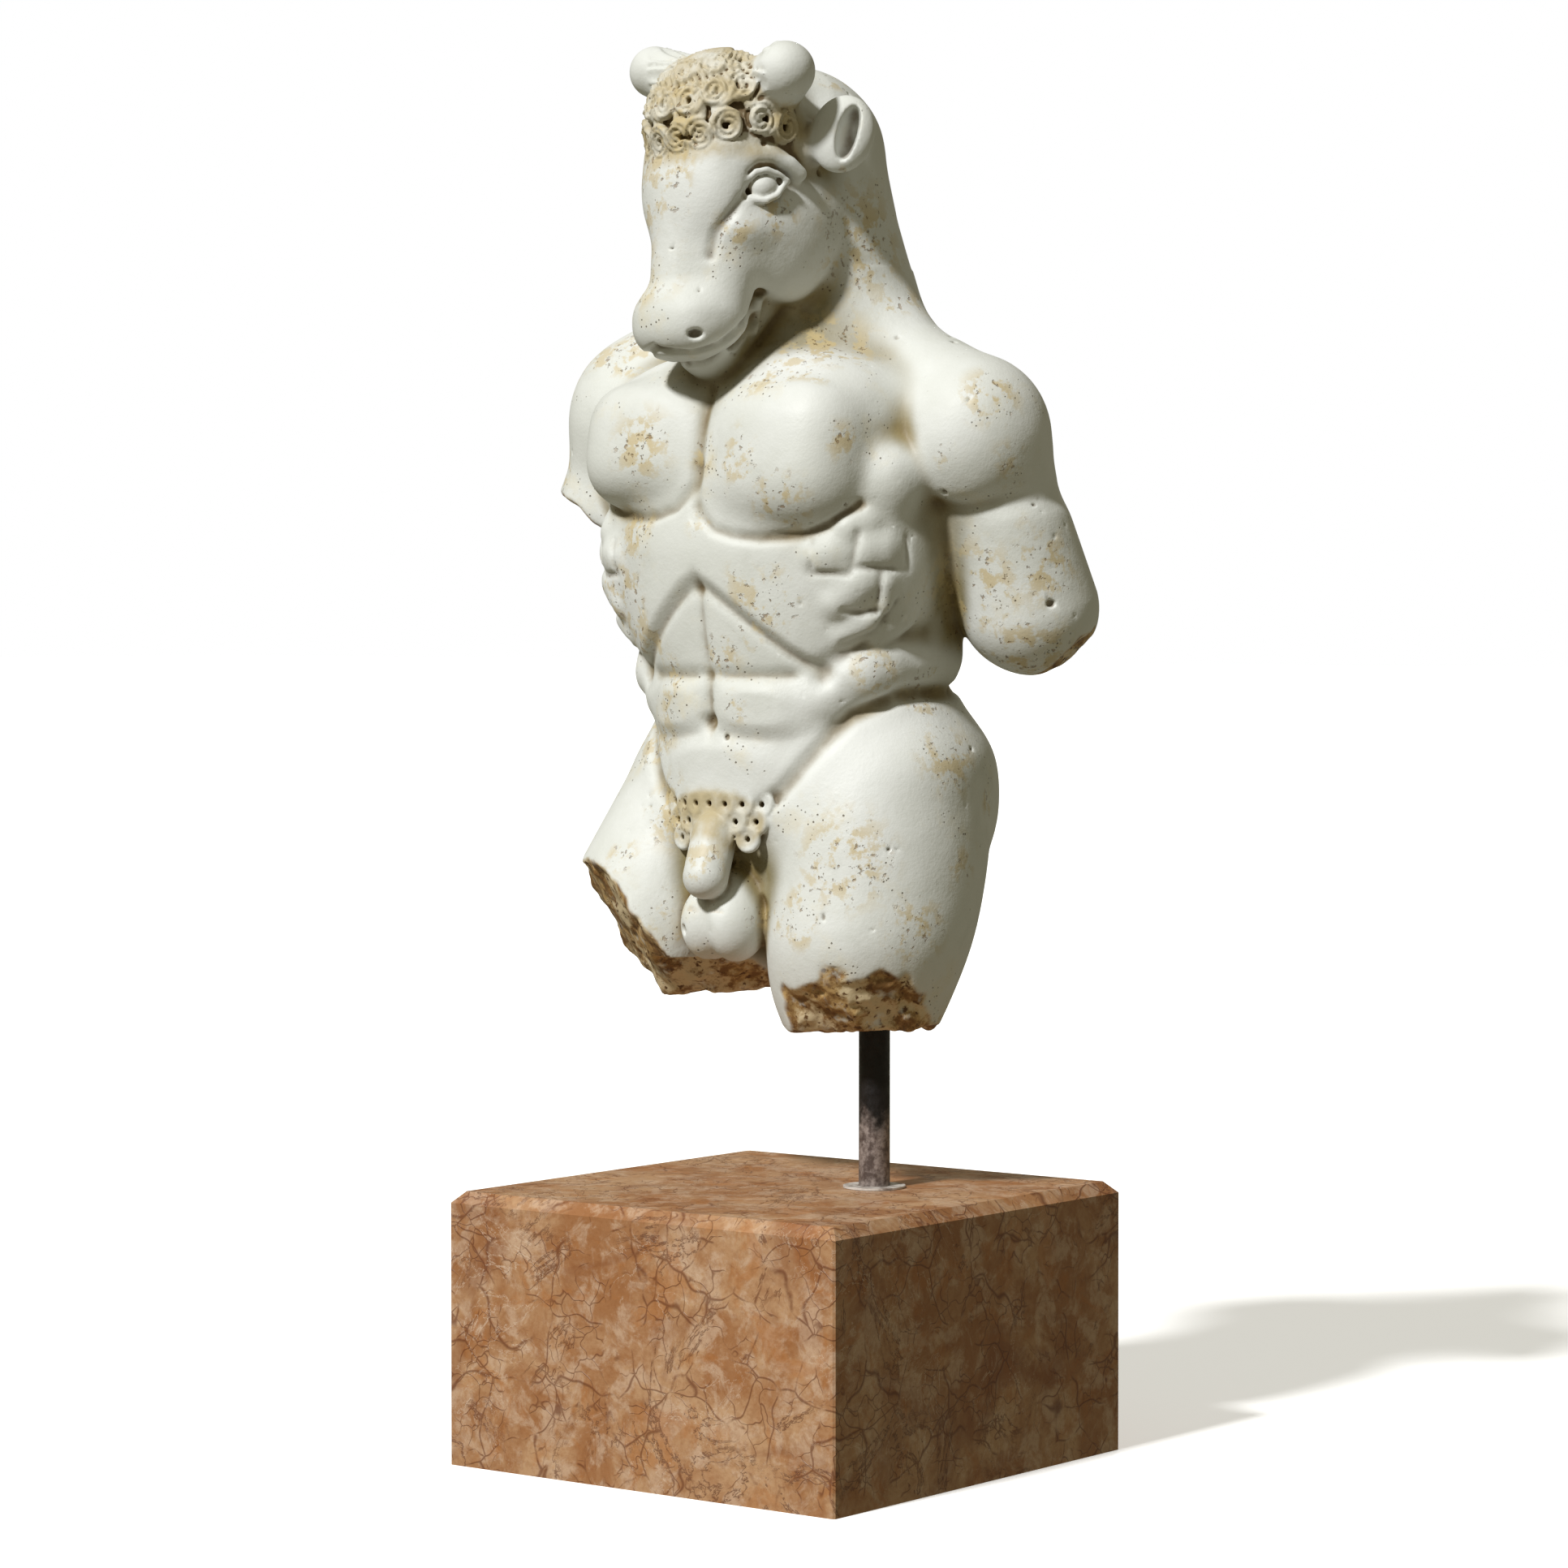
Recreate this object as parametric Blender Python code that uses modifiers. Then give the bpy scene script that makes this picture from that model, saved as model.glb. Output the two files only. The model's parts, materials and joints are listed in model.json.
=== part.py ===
"""Marble torso of a minotaur, held by a steel post over a stone plinth.

The frame: +Z is up, the torso faces -Y, its left side is towards +X, and the origin is the middle of the
plinth's underside. Lengths are in metres.
"""

import math

import bmesh
import bpy
import numpy as np
import openvdb

# The plinth
PLINTH_WIDTH = 0.360
PLINTH_DEPTH = 0.360
PLINTH_HEIGHT = 0.205
PLINTH_TOP_BEVEL = 0.0083
PLINTH_CORNER_BEVEL = 0.0015
PLINTH_HOLE_DEPTH = 0.065

# The post, and where it stands on the plinth
POST_DIAMETER = 0.0235
POST_X = 0.056
POST_Y = 0.034
POST_SEEN = 0.122
POST_END_CHAMFER = 0.001

# The thin plate at the post's foot
RING_DIAMETER = 0.047
RING_THICKNESS = 0.0015

# The fits
POST_CLEARANCE = 0.0004
REST_GAP = 0.0003

# The figure: its height, and its turn to its own right
FIGURE_HEIGHT = 0.737
FIGURE_TURN = math.radians(3.0)
THIGH_HOLE_DEPTH = 0.085
CARVING_STEP = 2.5
CARVING_TRIANGLES = 8700

# The carving below is laid out in parts, of which the figure's height has 737
PARTS_IN_HEIGHT = 737
PART = FIGURE_HEIGHT / PARTS_IN_HEIGHT
HOLE_IN_FIGURE = (74.5, 0.5, 0.0)

# Sizes that follow from those above
STATUE_BASE = PLINTH_HEIGHT + POST_SEEN
HOLE_RADIUS = POST_DIAMETER / 2 + POST_CLEARANCE

POST_SIDES = 48
CUTTER_OVERRUN = 0.03
# Heights closer than this are taken as level
FLAT = 1e-6
FAR_OUTSIDE = 60.0
SKIN_REACH = 200


def smooth_steps(value, low, high):
    """0 under low, 1 over high, and a smooth ramp between them."""
    share = np.clip((value - low) / (high - low), 0.0, 1.0)
    return share * share * (3.0 - 2.0 * share)


def turn_about(axis, degrees):
    """Rotation matrix about one of the three axes, 0 to 2."""
    angle = math.radians(degrees)
    first, second = [(1, 2), (2, 0), (0, 1)][axis]
    turn = np.eye(3)
    turn[first, first] = turn[second, second] = math.cos(angle)
    turn[first, second] = -math.sin(angle)
    turn[second, first] = math.sin(angle)
    return turn


class Frame:
    """A place to carve from: its origin in the figure, and its axes as the columns of a matrix."""

    def __init__(self, origin, axes):
        self.origin = np.array(origin, float)
        self.axes = np.array(axes, float)

    def place(self, point):
        return self.origin + self.axes @ np.array(point, float)

    def inner(self, origin, axes):
        return Frame(self.place(origin), self.axes @ axes)


def facing(frame, origin, out, up):
    """A frame inside another: its third axis points out, and its second as near to up as that allows."""
    out = np.array(out, float) / np.linalg.norm(out)
    up = np.array(up, float) - np.dot(up, out) * out
    up /= np.linalg.norm(up)
    return frame.inner(origin, np.column_stack((np.cross(up, out), up, out)))


class Clay:
    """The block that is carved: signed distances to the surface on a grid, below zero inside."""

    def __init__(self, low, high, step):
        self.low = np.array(low, float)
        self.step = step
        counts = [int(math.ceil((b - a) / step)) + 1 for a, b in zip(low, high)]
        self.axes = [a + step * np.arange(n) for a, n in zip(low, counts)]
        self.field = np.full(counts, FAR_OUTSIDE, np.float32)

    def window(self, low, high):
        """The part of the grid between two corners, and its coordinates."""
        cut = tuple(
            slice(*np.searchsorted(axis, (a, b)))
            for axis, a, b in zip(self.axes, low, high)
        )
        shapes = ((-1, 1, 1), (1, -1, 1), (1, 1, -1))
        x, y, z = (
            axis[part].astype(np.float32).reshape(shape)
            for axis, part, shape in zip(self.axes, cut, shapes)
        )
        return cut, x, y, z

    def around(self, frame, centre, reach):
        """The window within a reach of a point of the frame, measured from it along the frame's axes."""
        place = frame.place(centre)
        cut, x, y, z = self.window(place - reach, place + reach)
        x, y, z = x - place[0], y - place[1], z - place[2]
        axes = frame.axes.T
        return (cut, *(row[0] * x + row[1] * y + row[2] * z for row in axes))

    def join(self, cut, distance, blend):
        """Adds a shape, rounded into what is there over the blend's width."""
        here = self.field[cut]
        overlap = np.maximum(blend - np.abs(here - distance), 0.0) / blend
        self.field[cut] = np.minimum(here, distance) - overlap * overlap * blend / 4

    def carve(self, cut, distance, blend):
        """Takes a shape away, with its edge rounded over the blend's width."""
        here = self.field[cut]
        overlap = np.maximum(blend - np.abs(here + distance), 0.0) / blend
        self.field[cut] = np.maximum(here, -distance) + overlap * overlap * blend / 4

    def raise_by(self, cut, height):
        self.field[cut] -= height


def egg_distance(x, y, z, radii):
    """Distance to an ellipsoid, near enough for blending."""
    rx, ry, rz = radii
    reach = np.sqrt((x / rx) ** 2 + (y / ry) ** 2 + (z / rz) ** 2)
    slope = np.sqrt((x / rx**2) ** 2 + (y / ry**2) ** 2 + (z / rz**2) ** 2)
    return reach * (reach - 1.0) / np.maximum(slope, 1e-6)


def egg(clay, frame, centre, radii, blend, tilt=None):
    """An ellipsoid mass; tilt turns it about its own centre."""
    own = frame.inner(centre, np.eye(3) if tilt is None else tilt)
    cut, x, y, z = clay.around(own, (0, 0, 0), max(radii) + blend)
    clay.join(cut, egg_distance(x, y, z, radii), blend)


def hollow(clay, frame, centre, radii, blend, tilt=None):
    """An ellipsoid taken away."""
    own = frame.inner(centre, np.eye(3) if tilt is None else tilt)
    cut, x, y, z = clay.around(own, (0, 0, 0), max(radii) + blend)
    clay.carve(cut, egg_distance(x, y, z, radii), blend)


def rod_distance(x, y, z, start, end, start_radius, end_radius):
    """Distance to a round bar that tapers from one radius to the other."""
    start, span = np.array(start, float), np.subtract(end, start).astype(float)
    along = ((x - start[0]) * span[0] + (y - start[1]) * span[1] + (z - start[2]) * span[2])
    share = np.clip(along / (span @ span), 0.0, 1.0)
    away = np.sqrt(
        (x - start[0] - share * span[0]) ** 2
        + (y - start[1] - share * span[1]) ** 2
        + (z - start[2] - share * span[2]) ** 2
    )
    return away - (start_radius + (end_radius - start_radius) * share)


def limb(clay, frame, start, end, start_radius, end_radius, blend):
    """A round, tapering mass between two points."""
    middle = (np.array(start, float) + np.array(end, float)) / 2
    reach = np.linalg.norm(np.subtract(end, start)) / 2 + max(start_radius, end_radius) + blend
    cut, x, y, z = clay.around(frame, middle, reach)
    first, last = np.array(start) - middle, np.array(end) - middle
    clay.join(cut, rod_distance(x, y, z, first, last, start_radius, end_radius), blend)


def station_curve(stations, column, height):
    """One column of a table of sections, run smoothly from station to station."""
    heights = np.array([row[0] for row in stations], float)
    values = np.array([row[column] for row in stations], float)
    slopes = np.gradient(values, heights)
    at = np.clip(np.searchsorted(heights, height) - 1, 0, len(heights) - 2)
    span = heights[at + 1] - heights[at]
    t = np.clip((height - heights[at]) / span, 0.0, 1.0)
    a, b = values[at], values[at + 1]
    rise = b - a
    bend_a, bend_b = slopes[at] * span - rise, rise - slopes[at + 1] * span
    return a + rise * t + t * (1 - t) * ((1 - t) * bend_a + t * bend_b)


def lofted(clay, stations, blend, back_square):
    """A mass given by level sections: (height, middle x, middle y, half width, front depth, back depth)."""
    low_z, high_z = stations[0][0], stations[-1][0]
    wide = max(abs(row[1]) + row[3] for row in stations) + blend
    cut, x, y, z = clay.window((-wide, -wide, low_z - blend), (wide, wide, high_z + blend))
    flat = z.reshape(-1)
    mid_x, mid_y, half, front, back = (
        station_curve(stations, column, flat).astype(np.float32).reshape(z.shape)
        for column in range(1, 6)
    )
    across = np.abs(x - mid_x)
    forward = y - mid_y
    oval = np.sqrt((across / half) ** 2 + (forward / front) ** 2)
    square = back_square
    boxy = ((across / half) ** square + (np.abs(forward) / back) ** square) ** (1 / square)
    reach = np.maximum(np.where(forward < 0, oval, boxy), 1e-3)
    away = np.sqrt(across**2 + forward**2)
    distance = (1.0 - 1.0 / reach) * away
    ends = np.maximum(low_z - z, z - high_z)
    clay.join(cut, np.maximum(distance, ends), blend)


# How far forward the middle of the head lies, in the head's own frame
MUZZLE_AXIS = -24

BODY = Frame((0, 0, 0), np.eye(3))
HEAD = Frame((-6, -70, 640), turn_about(2, -9.0))

# Sections of the trunk: height, middle x, middle y, half width, front depth, back depth
TRUNK = (
    (110, 0, 5, 90, 78, 60),
    (150, 0, 5, 112, 96, 76),
    (190, 0, 5, 118, 104, 74),
    (227, 0, 5, 116, 106, 70),
    (262, -1, 5, 117, 108, 70),
    (300, -6, 5, 133, 113, 76),
    (342, -10, 5, 143, 116, 84),
    (400, -8, 8, 138, 118, 92),
    (440, -6, 12, 130, 112, 92),
    (480, -6, 18, 106, 90, 80),
    (515, -4, 24, 72, 60, 60),
    (550, -4, 24, 34, 32, 34),
)

# Sections of the left thigh and hip, laid out in the same way
LEFT_THIGH = (
    (-8, 74, -14, 55, 56, 46),
    (22, 76, -14, 67, 69, 58),
    (62, 81, -12, 76, 82, 69),
    (110, 80, -4, 80, 86, 78),
    (165, 74, 2, 82, 86, 88),
    (205, 72, 6, 78, 76, 88),
    (240, 63, 8, 63, 58, 72),
    (275, 58, 8, 40, 36, 46),
)


def midline(z):
    """How far the body's middle line leans to its right, by height."""
    return -6.0 * smooth_steps(z, 230, 400)


def on_trunk(side, angle, height, lift=0.0):
    """A point on the front of the trunk, by its angle round from the middle line."""
    mid_x, mid_y, half, front = (station_curve(TRUNK, column, height) for column in range(1, 5))
    turn = math.radians(angle)
    out, forward = (half + lift) * math.sin(turn), (front + lift) * math.cos(turn)
    return (float(mid_x + side * out), float(mid_y - forward), float(height))


def sampled(grid, low, step, points):
    """Values of a grid at points, run smoothly between its cells."""
    places = (points - low) / step
    whole = np.clip(np.floor(places).astype(int), 0, np.array(grid.shape) - 2)
    share = places - whole
    total = np.zeros(len(points))
    for corner in np.ndindex(2, 2, 2):
        at = tuple((whole + corner).T)
        weight = np.prod(np.where(corner, share, 1 - share), axis=1)
        total += weight * grid[at]
    return total


def skin(clay, start, way):
    """The point where a straight line from inside the figure first leaves it."""
    way = np.array(way, float) / np.linalg.norm(way)
    points = np.array(start, float) + np.arange(0.0, SKIN_REACH, 2.0)[:, None] * way
    values = sampled(clay.field, clay.low, clay.step, points)
    first = max(1, int((values > 0).argmax()))
    inside, outside = values[first - 1], values[first]
    return points[first - 1] + (points[first] - points[first - 1]) * (-inside / (outside - inside))


def on_face(clay, points):
    """Points of the head moved out or in, level, to the skin."""
    moved = []
    for across, forward, height in points:
        start = HEAD.place((0, MUZZLE_AXIS, height))
        moved.append(skin(clay, start, HEAD.axes @ np.array((across, forward - MUZZLE_AXIS, 0))))
    return moved


def on_body(clay, side, points, sunk=0.0):
    """Points of the trunk's left side moved level to the skin, on either side, and sunk into it."""
    moved = []
    for x, y, z in points:
        middle = midline(z)
        way = np.array((side * (x - middle), y, 0.0))
        moved.append(skin(clay, (middle, 0, z), way) - sunk * way / np.linalg.norm(way))
    return moved


def trunk(clay):
    lofted(clay, TRUNK, 20, 3.4)


def pelvis_and_thighs(clay):
    lofted(clay, LEFT_THIGH, 22, 2.2)
    # Buttocks, and the right hip
    egg(clay, BODY, (69, 58, 168), (62, 60, 74), 20)
    egg(clay, BODY, (-60, 52, 158), (60, 58, 72), 20)
    egg(clay, BODY, (-82, 10, 196), (46, 56, 50), 20)
    # Right thigh, carried forward and out
    limb(clay, BODY, (-74, -8, 158), (-104, -74, 50), 74, 68, 24)
    egg(clay, BODY, (-52, -8, 86), (48, 58, 80), 20)


def breaks(clay):
    """The broken faces: each has the corners of its block, a point of the face, and the way it faces."""
    left_thigh = ((4, -190, -12), (250, 170, 60))
    right_thigh = ((-236, -190, -12), (4, 170, 200))
    under_right_thigh = ((-236, -190, -12), (4, 170, 51))
    left_arm = ((120, 0, 245), (250, 170, 345))
    right_arm = ((-236, -120, 341), (-146, 120, 425))
    break_off(clay, left_thigh, (75, 0, 0), (0.0, 0.0, -1.0), 4.0)
    break_off(clay, left_thigh, (97, -79, 33), (0.22, -0.75, -0.63), 6.0)
    break_off(clay, left_thigh, (129, -68, 40), (0.60, -0.49, -0.63), 5.0)
    break_off(clay, right_thigh, (-117, -64, 67), (-0.50, -0.68, -0.54), 4.0)
    break_off(clay, under_right_thigh, (-34, -54, 50), (0.45, -0.55, -0.70), 4.0)
    break_off(clay, right_thigh, (-62, -16, 20), (0.1, 0.0, -1.0), 3.0)
    break_off(clay, left_arm, (196, 78, 276), (0.58, 0.27, -0.77), 4.0)
    break_off(clay, right_arm, (-188, -34, 386), (-0.50, -0.36, -0.79), 3.0)


# The deep crease between the left arm and the ribs
UNDER_ARM = (
    (143, -27, 374), (144, -19, 358), (142, -11, 343), (139, 3, 325),
    (133, 18, 307), (130, 30, 292), (128, 39, 280),
)

# The soft crease where the left upper arm comes out of the shoulder
UNDER_SHOULDER = ((150, -12, 390), (166, -6, 391), (195, 6, 392), (210, 36, 395), (203, 66, 399))


def shoulders_and_arms(clay):
    # Left
    egg(clay, BODY, (157, 20, 438), (53, 58, 62), 24)
    limb(clay, BODY, (164, 32, 416), (174, 64, 313), 42, 50, 9)
    limb(clay, BODY, (150, 34, 392), (160, 62, 318), 36, 42, 12)
    groove(clay, BODY, UNDER_SHOULDER, 10, 4)
    trench(clay, BODY, UNDER_ARM, 6, 3)
    # Right
    egg(clay, BODY, (-158, -6, 456), (53, 56, 66), 24)
    limb(clay, BODY, (-160, -6, 440), (-178, -14, 391), 44, 43, 12)
    # Shoulder girdle and trapezius
    limb(clay, BODY, (-124, 20, 468), (116, 28, 456), 42, 40, 36)
    limb(clay, BODY, (0, 40, 552), (98, 28, 486), 42, 32, 38)
    limb(clay, BODY, (0, 40, 556), (-126, 14, 504), 44, 32, 40)


# The plates of the chest, right and left: side, middle height, half height, and rise of the lower edge
CHEST_PLATES = ((-1, 432, 52, 16), (1, 423, 60, 0))

# The crease under the left plate
CHEST_EDGE = (
    (-4, -113, 389), (4, -113, 379), (14, -113, 371), (31, -109, 366), (50, -104, 364),
    (69, -98, 365), (88, -93, 367), (105, -88, 374), (116, -81, 382), (121, -72, 388),
)


def chest(clay):
    for side in (-1, 1):
        # The side of the rib cage, below the armpit
        egg(clay, BODY, (side * 98 - 6, -26, 356), (46, 60, 66), 20)
    lean = turn_about(0, -8)
    # The broad mass below the collar bones, which the plates below run into
    plate(clay, BODY.inner((-6, -24, 456), turn_about(0, -12)), (128, 70, 48), 2.6, 26)
    for side, middle, half, rise in CHEST_PLATES:
        plate(clay, BODY.inner((side * 63 - 6, -52, middle), lean), (66, 66, half), 3.0, 14)
        # The fold of muscle in front of the armpit
        egg(clay, BODY, (side * 128 - 3, -40, 407 + rise / 2), (21, 24, 27), 16)
        edge = [(x, y, z + rise) for x, y, z in CHEST_EDGE]
        groove(clay, BODY, on_body(clay, side, edge), 3.8, 4.5)
    # Breastbone
    groove(clay, BODY, on_body(clay, 1, ((-5, -99, 474), (-6, -99, 440), (-6, -99, 412))), 5, 3)
    groove(clay, BODY, on_body(clay, 1, ((-6, -99, 418), (-6, -99, 396), (-5, -99, 380))), 5, 3)


def plate(clay, own, radii, square, blend):
    """A flattish muscle: an ellipsoid with squared-off corners, in a frame of its own."""
    cut, x, y, z = clay.around(own, (0, 0, 0), max(radii) * 1.3 + blend)
    rx, ry, rz = radii
    reach = (
        (np.abs(x) / rx) ** square + (np.abs(y) / ry) ** square + (np.abs(z) / rz) ** square
    ) ** (1 / square)
    away = np.sqrt(x**2 + y**2 + z**2)
    clay.join(cut, (1.0 - 1.0 / np.maximum(reach, 1e-3)) * away, blend)


def pad(u, v, half_u, half_v, square, edge):
    """1 inside a rounded box, 0 outside it, with an edge of the given width."""
    reach = ((np.abs(u) / half_u) ** square + (np.abs(v) / half_v) ** square) ** (1 / square)
    return smooth_steps((1.0 - reach) * min(half_u, half_v), 0.0, edge)


def path_distance(x, y, z, points):
    """Distance to a line of straight stretches."""
    stretches = [rod_distance(x, y, z, a, b, 0.0, 0.0) for a, b in zip(points, points[1:])]
    return np.minimum.reduce(stretches)


def groove(clay, frame, points, width, depth):
    """A soft furrow along a line of points; a negative depth raises a ridge."""
    corners = np.array([frame.place(point) for point in points])
    margin = 3 * width
    cut, x, y, z = clay.window(corners.min(axis=0) - margin, corners.max(axis=0) + margin)
    away = path_distance(x, y, z, corners)
    clay.raise_by(cut, -depth * np.exp(-((away / width) ** 2)))


def roll(clay, frame, points, radius, blend):
    """A round bead along a line of points."""
    corners = np.array([frame.place(point) for point in points])
    margin = radius + blend
    cut, x, y, z = clay.window(corners.min(axis=0) - margin, corners.max(axis=0) + margin)
    clay.join(cut, path_distance(x, y, z, corners) - radius, blend)


def trench(clay, frame, points, radius, blend):
    """A round channel taken away along a line of points."""
    corners = np.array([frame.place(point) for point in points])
    margin = radius + blend
    cut, x, y, z = clay.window(corners.min(axis=0) - margin, corners.max(axis=0) + margin)
    clay.carve(cut, path_distance(x, y, z, corners) - radius, blend)


def swell(clay, frame, centre, radii, height, tilt=None):
    """A soft rise over an ellipsoid's reach; a negative height makes a dent."""
    own = frame.inner(centre, np.eye(3) if tilt is None else tilt)
    cut, x, y, z = clay.around(own, (0, 0, 0), 2.2 * max(radii))
    rx, ry, rz = radii
    away = (x / rx) ** 2 + (y / ry) ** 2 + (z / rz) ** 2
    clay.raise_by(cut, height * np.exp(-away))


def noise(x, y, z, size, seed):
    """Smooth random values from -1 to 1, with lumps of the given size."""
    cells = 16
    lattice = np.random.default_rng(seed).uniform(-1, 1, (cells, cells, cells)).astype(np.float32)
    total = 0.0
    places = [np.asarray(v) / size for v in (x, y, z)]
    whole = [np.floor(v).astype(int) for v in places]
    share = [v - w for v, w in zip(places, whole)]
    share = [t * t * (3 - 2 * t) for t in share]
    for corner in np.ndindex(2, 2, 2):
        weight = 1.0
        for t, c in zip(share, corner):
            weight = weight * (t if c else 1 - t)
        at = tuple((w + c) % cells for w, c in zip(whole, corner))
        total = total + weight * lattice[at]
    return total


def break_off(clay, block, point, facing, roughness):
    """Takes off everything of a block that lies beyond a rough broken face."""
    normal = np.array(facing, float)
    normal /= np.linalg.norm(normal)
    cut, x, y, z = clay.window(*block)
    beyond = normal[0] * (x - point[0]) + normal[1] * (y - point[1]) + normal[2] * (z - point[2])
    rough = noise(x, y, z, 26, 3) + 0.5 * noise(x, y, z, 11, 5)
    clay.carve(cut, roughness * rough - beyond, 3)


def front_relief(clay):
    """The belly and the lower edge of the ribs, drawn on the front of the trunk."""
    cut, x, y, z = clay.window((-135, -190, 150), (135, 10, 400))
    side = np.abs(x - midline(z))
    arch = 345 - np.sqrt((0.86 * side) ** 2 + 10.0**2)
    above_arch = z - arch
    height = 5.0 * smooth_steps(above_arch, -8, 8) * smooth_steps(-z, -398, -350)
    height = height - 2.0 * np.exp(-(((above_arch + 7) / 6) ** 2)) * smooth_steps(z, 258, 275)
    # The two rows of the belly's muscle, and the part below the navel
    row_line = np.exp(-(((z - 264) / 5.0) ** 2)) * smooth_steps(-side, -82, -62)
    height = height - 2.6 * row_line
    height = height + 5.0 * pad(side - 41, z - 241 + 0.05 * side, 44, 24, 3.0, 14)
    height = height + 4.0 * pad(x, z - 190, 72, 33, 2.4, 16)
    linea = np.exp(-((side / 4.5) ** 2)) * smooth_steps(z, 205, 232) * smooth_steps(-z, -350, -325)
    height = height - 3.2 * linea
    furrow = np.exp(-(((side - 87) / 7.0) ** 2)) * smooth_steps(z, 215, 235) * smooth_steps(-z, -285, -262)
    height = height - 4.0 * furrow
    clay.raise_by(cut, height * smooth_steps(-y, 15, 40))


# The lumps of muscle over the ribs, laid out on the left side: a radius, and a line of points
RIB_MUSCLES = (
    (12.0, ((119, -77, 371), (127, -66, 376))),
    (15.0, ((128, -66, 356), (134, -56, 357))),
    (15.0, ((100, -89, 352), (108, -85, 354))),
    (13.0, ((107, -78, 318), (124, -68, 332))),
    (9.5, ((133, -54, 331), (131, -52, 318))),
    (10.5, ((107, -69, 294), (122, -57, 305))),
    (10.5, ((118, -44, 294), (127, -30, 306))),
)
RIB_MUSCLE_RISE = 2.4

# The fine creases between them
RIB_CREASES = (
    ((92, -93, 362), (90, -91, 339), (114, -78, 338)),
    ((121, -75, 368), (117, -77, 342)),
    ((121, -73, 343), (132, -58, 342), (137, -37, 342), (137, -38, 365)),
    ((132, -60, 337), (127, -58, 311)),
    ((106, -74, 311), (117, -65, 309), (127, -58, 311)),
    ((101, -68, 287), (116, -53, 295), (132, -43, 318)),
)

# The roll of muscle over the hip bone, and the creases above and below it
HIP_ROLL = ((86, -68, 247), (97, -60, 257), (107, -46, 264), (115, -26, 270), (118, 0, 272), (108, 30, 276))
OVER_HIP = (
    (85, -72, 262), (89, -67, 272), (102, -63, 283), (114, -50, 289), (125, -31, 293), (126, -3, 295),
)
UNDER_HIP = (
    (108, 68, 256), (116, 34, 249), (121, -3, 250), (119, -28, 248), (109, -43, 240), (99, -55, 233),
    (88, -63, 221), (81, -71, 211), (70, -81, 193), (58, -86, 178), (45, -93, 166),
)


def flanks(clay):
    for side in (-1, 1):
        roll(clay, BODY, on_body(clay, side, HIP_ROLL, 12), 22, 12)
        groove(clay, BODY, on_body(clay, side, OVER_HIP), 8, 4)
        groove(clay, BODY, on_body(clay, side, UNDER_HIP), 5.5, 7)
        for radius, points in RIB_MUSCLES:
            roll(clay, BODY, on_body(clay, side, points, radius - RIB_MUSCLE_RISE), radius, 6)
        for points in RIB_CREASES:
            groove(clay, BODY, on_body(clay, side, points), 3, 2)
    # Navel
    swell(clay, BODY, (-1, -104, 229), (6, 14, 5), -8)


def genitals(clay):
    swell(clay, BODY, (0, -92, 160), (50, 24, 18), 5)
    egg(clay, BODY, (0, -80, 88), (28, 24, 34), 8)
    for side in (-1, 1):
        egg(clay, BODY, (side * 13, -86, 78), (20, 25, 28), 6)
    limb(clay, BODY, (2, -98, 146), (5, -112, 114), 17, 17, 6)
    tip = ((-16, -150, 88), (28, -108, 114))
    break_off(clay, tip, (6, -118, 97), (0.1, -0.25, -1.0), 1.5)


# Rows of ringlets over the genitals: height, half width, and how many
LOW_CURL_ROWS = ((168, 42, 7), (155, 38, 6), (142, 32, 4))


def low_hair(clay):
    for height, half, count in LOW_CURL_ROWS:
        for out in np.linspace(-half, half, count):
            middle = (out, -101 + 0.006 * out * out, height)
            face_out = turn_about(2, 0.35 * out) @ turn_about(0, 90)
            curl(clay, BODY.inner(middle, face_out), 0.8)


def back(clay):
    """The hidden side, carved more plainly."""
    spine = ((0, 78, 190), (-2, 76, 250), (-5, 90, 330), (-6, 104, 400), (-6, 100, 470))
    groove(clay, BODY, spine, 12, 8)
    groove(clay, BODY, ((2, 118, 100), (2, 122, 150), (0, 100, 196)), 9, 16)
    for side in (-1, 1):
        swell(clay, BODY, (side * 66 - 6, 96, 430), (34, 24, 44), 8)
        swell(clay, BODY, (side * 96 - 6, 66, 350), (30, 40, 50), 6)


def neck(clay):
    limb(clay, BODY, (0, 30, 470), (-6, 14, 600), 74, 60, 40)
    limb(clay, BODY, (-6, 14, 600), (-4, 10, 655), 60, 62, 30)


# Sizes of the hair: its cap, the two strands of each lock, and the ringlet at its end
CAP_MIDDLE = (0, -2, 32)
CAP_RADII = (57, 58, 53)
CAP_EDGE = -18
STRAND_RADIUS = 3.4
STRAND_SPACING = 6.4
CURL_RINGS = ((4.8, 2.7), (9.6, 3.4))
CURL_LIFT = 3.2
CURL_HOLE = 2.5


def cap_frame(azimuth, rise):
    """A frame on the hair cap, its z axis pointing out: azimuth from the face, rise from the level."""
    turn, lift = math.radians(azimuth), math.radians(rise)
    way = np.array((math.sin(turn) * math.cos(lift), -math.cos(turn) * math.cos(lift), math.sin(lift)))
    out = way / np.array(CAP_RADII)
    out /= np.linalg.norm(out)
    side = np.cross((0, 0, 1), out)
    side /= np.linalg.norm(side)
    middle = np.array(CAP_MIDDLE) + way * np.array(CAP_RADII)
    return HEAD.inner(middle, np.column_stack((side, np.cross(out, side), out)))


def curl(clay, frame, scale):
    """One ringlet: two rings of hair, one in the other, with a drilled middle."""
    cut, x, y, z = clay.around(frame, (0, 0, 0), 18 * scale)
    away = np.sqrt(x**2 + y**2)
    for ring, thick in CURL_RINGS:
        clay.join(cut, np.sqrt((away - ring * scale) ** 2 + z**2) - thick * scale, 1.0)
    drilled = np.maximum(away - CURL_HOLE * scale, np.abs(z) - 6.0)
    clay.carve(cut, drilled, 1.0)


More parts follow.
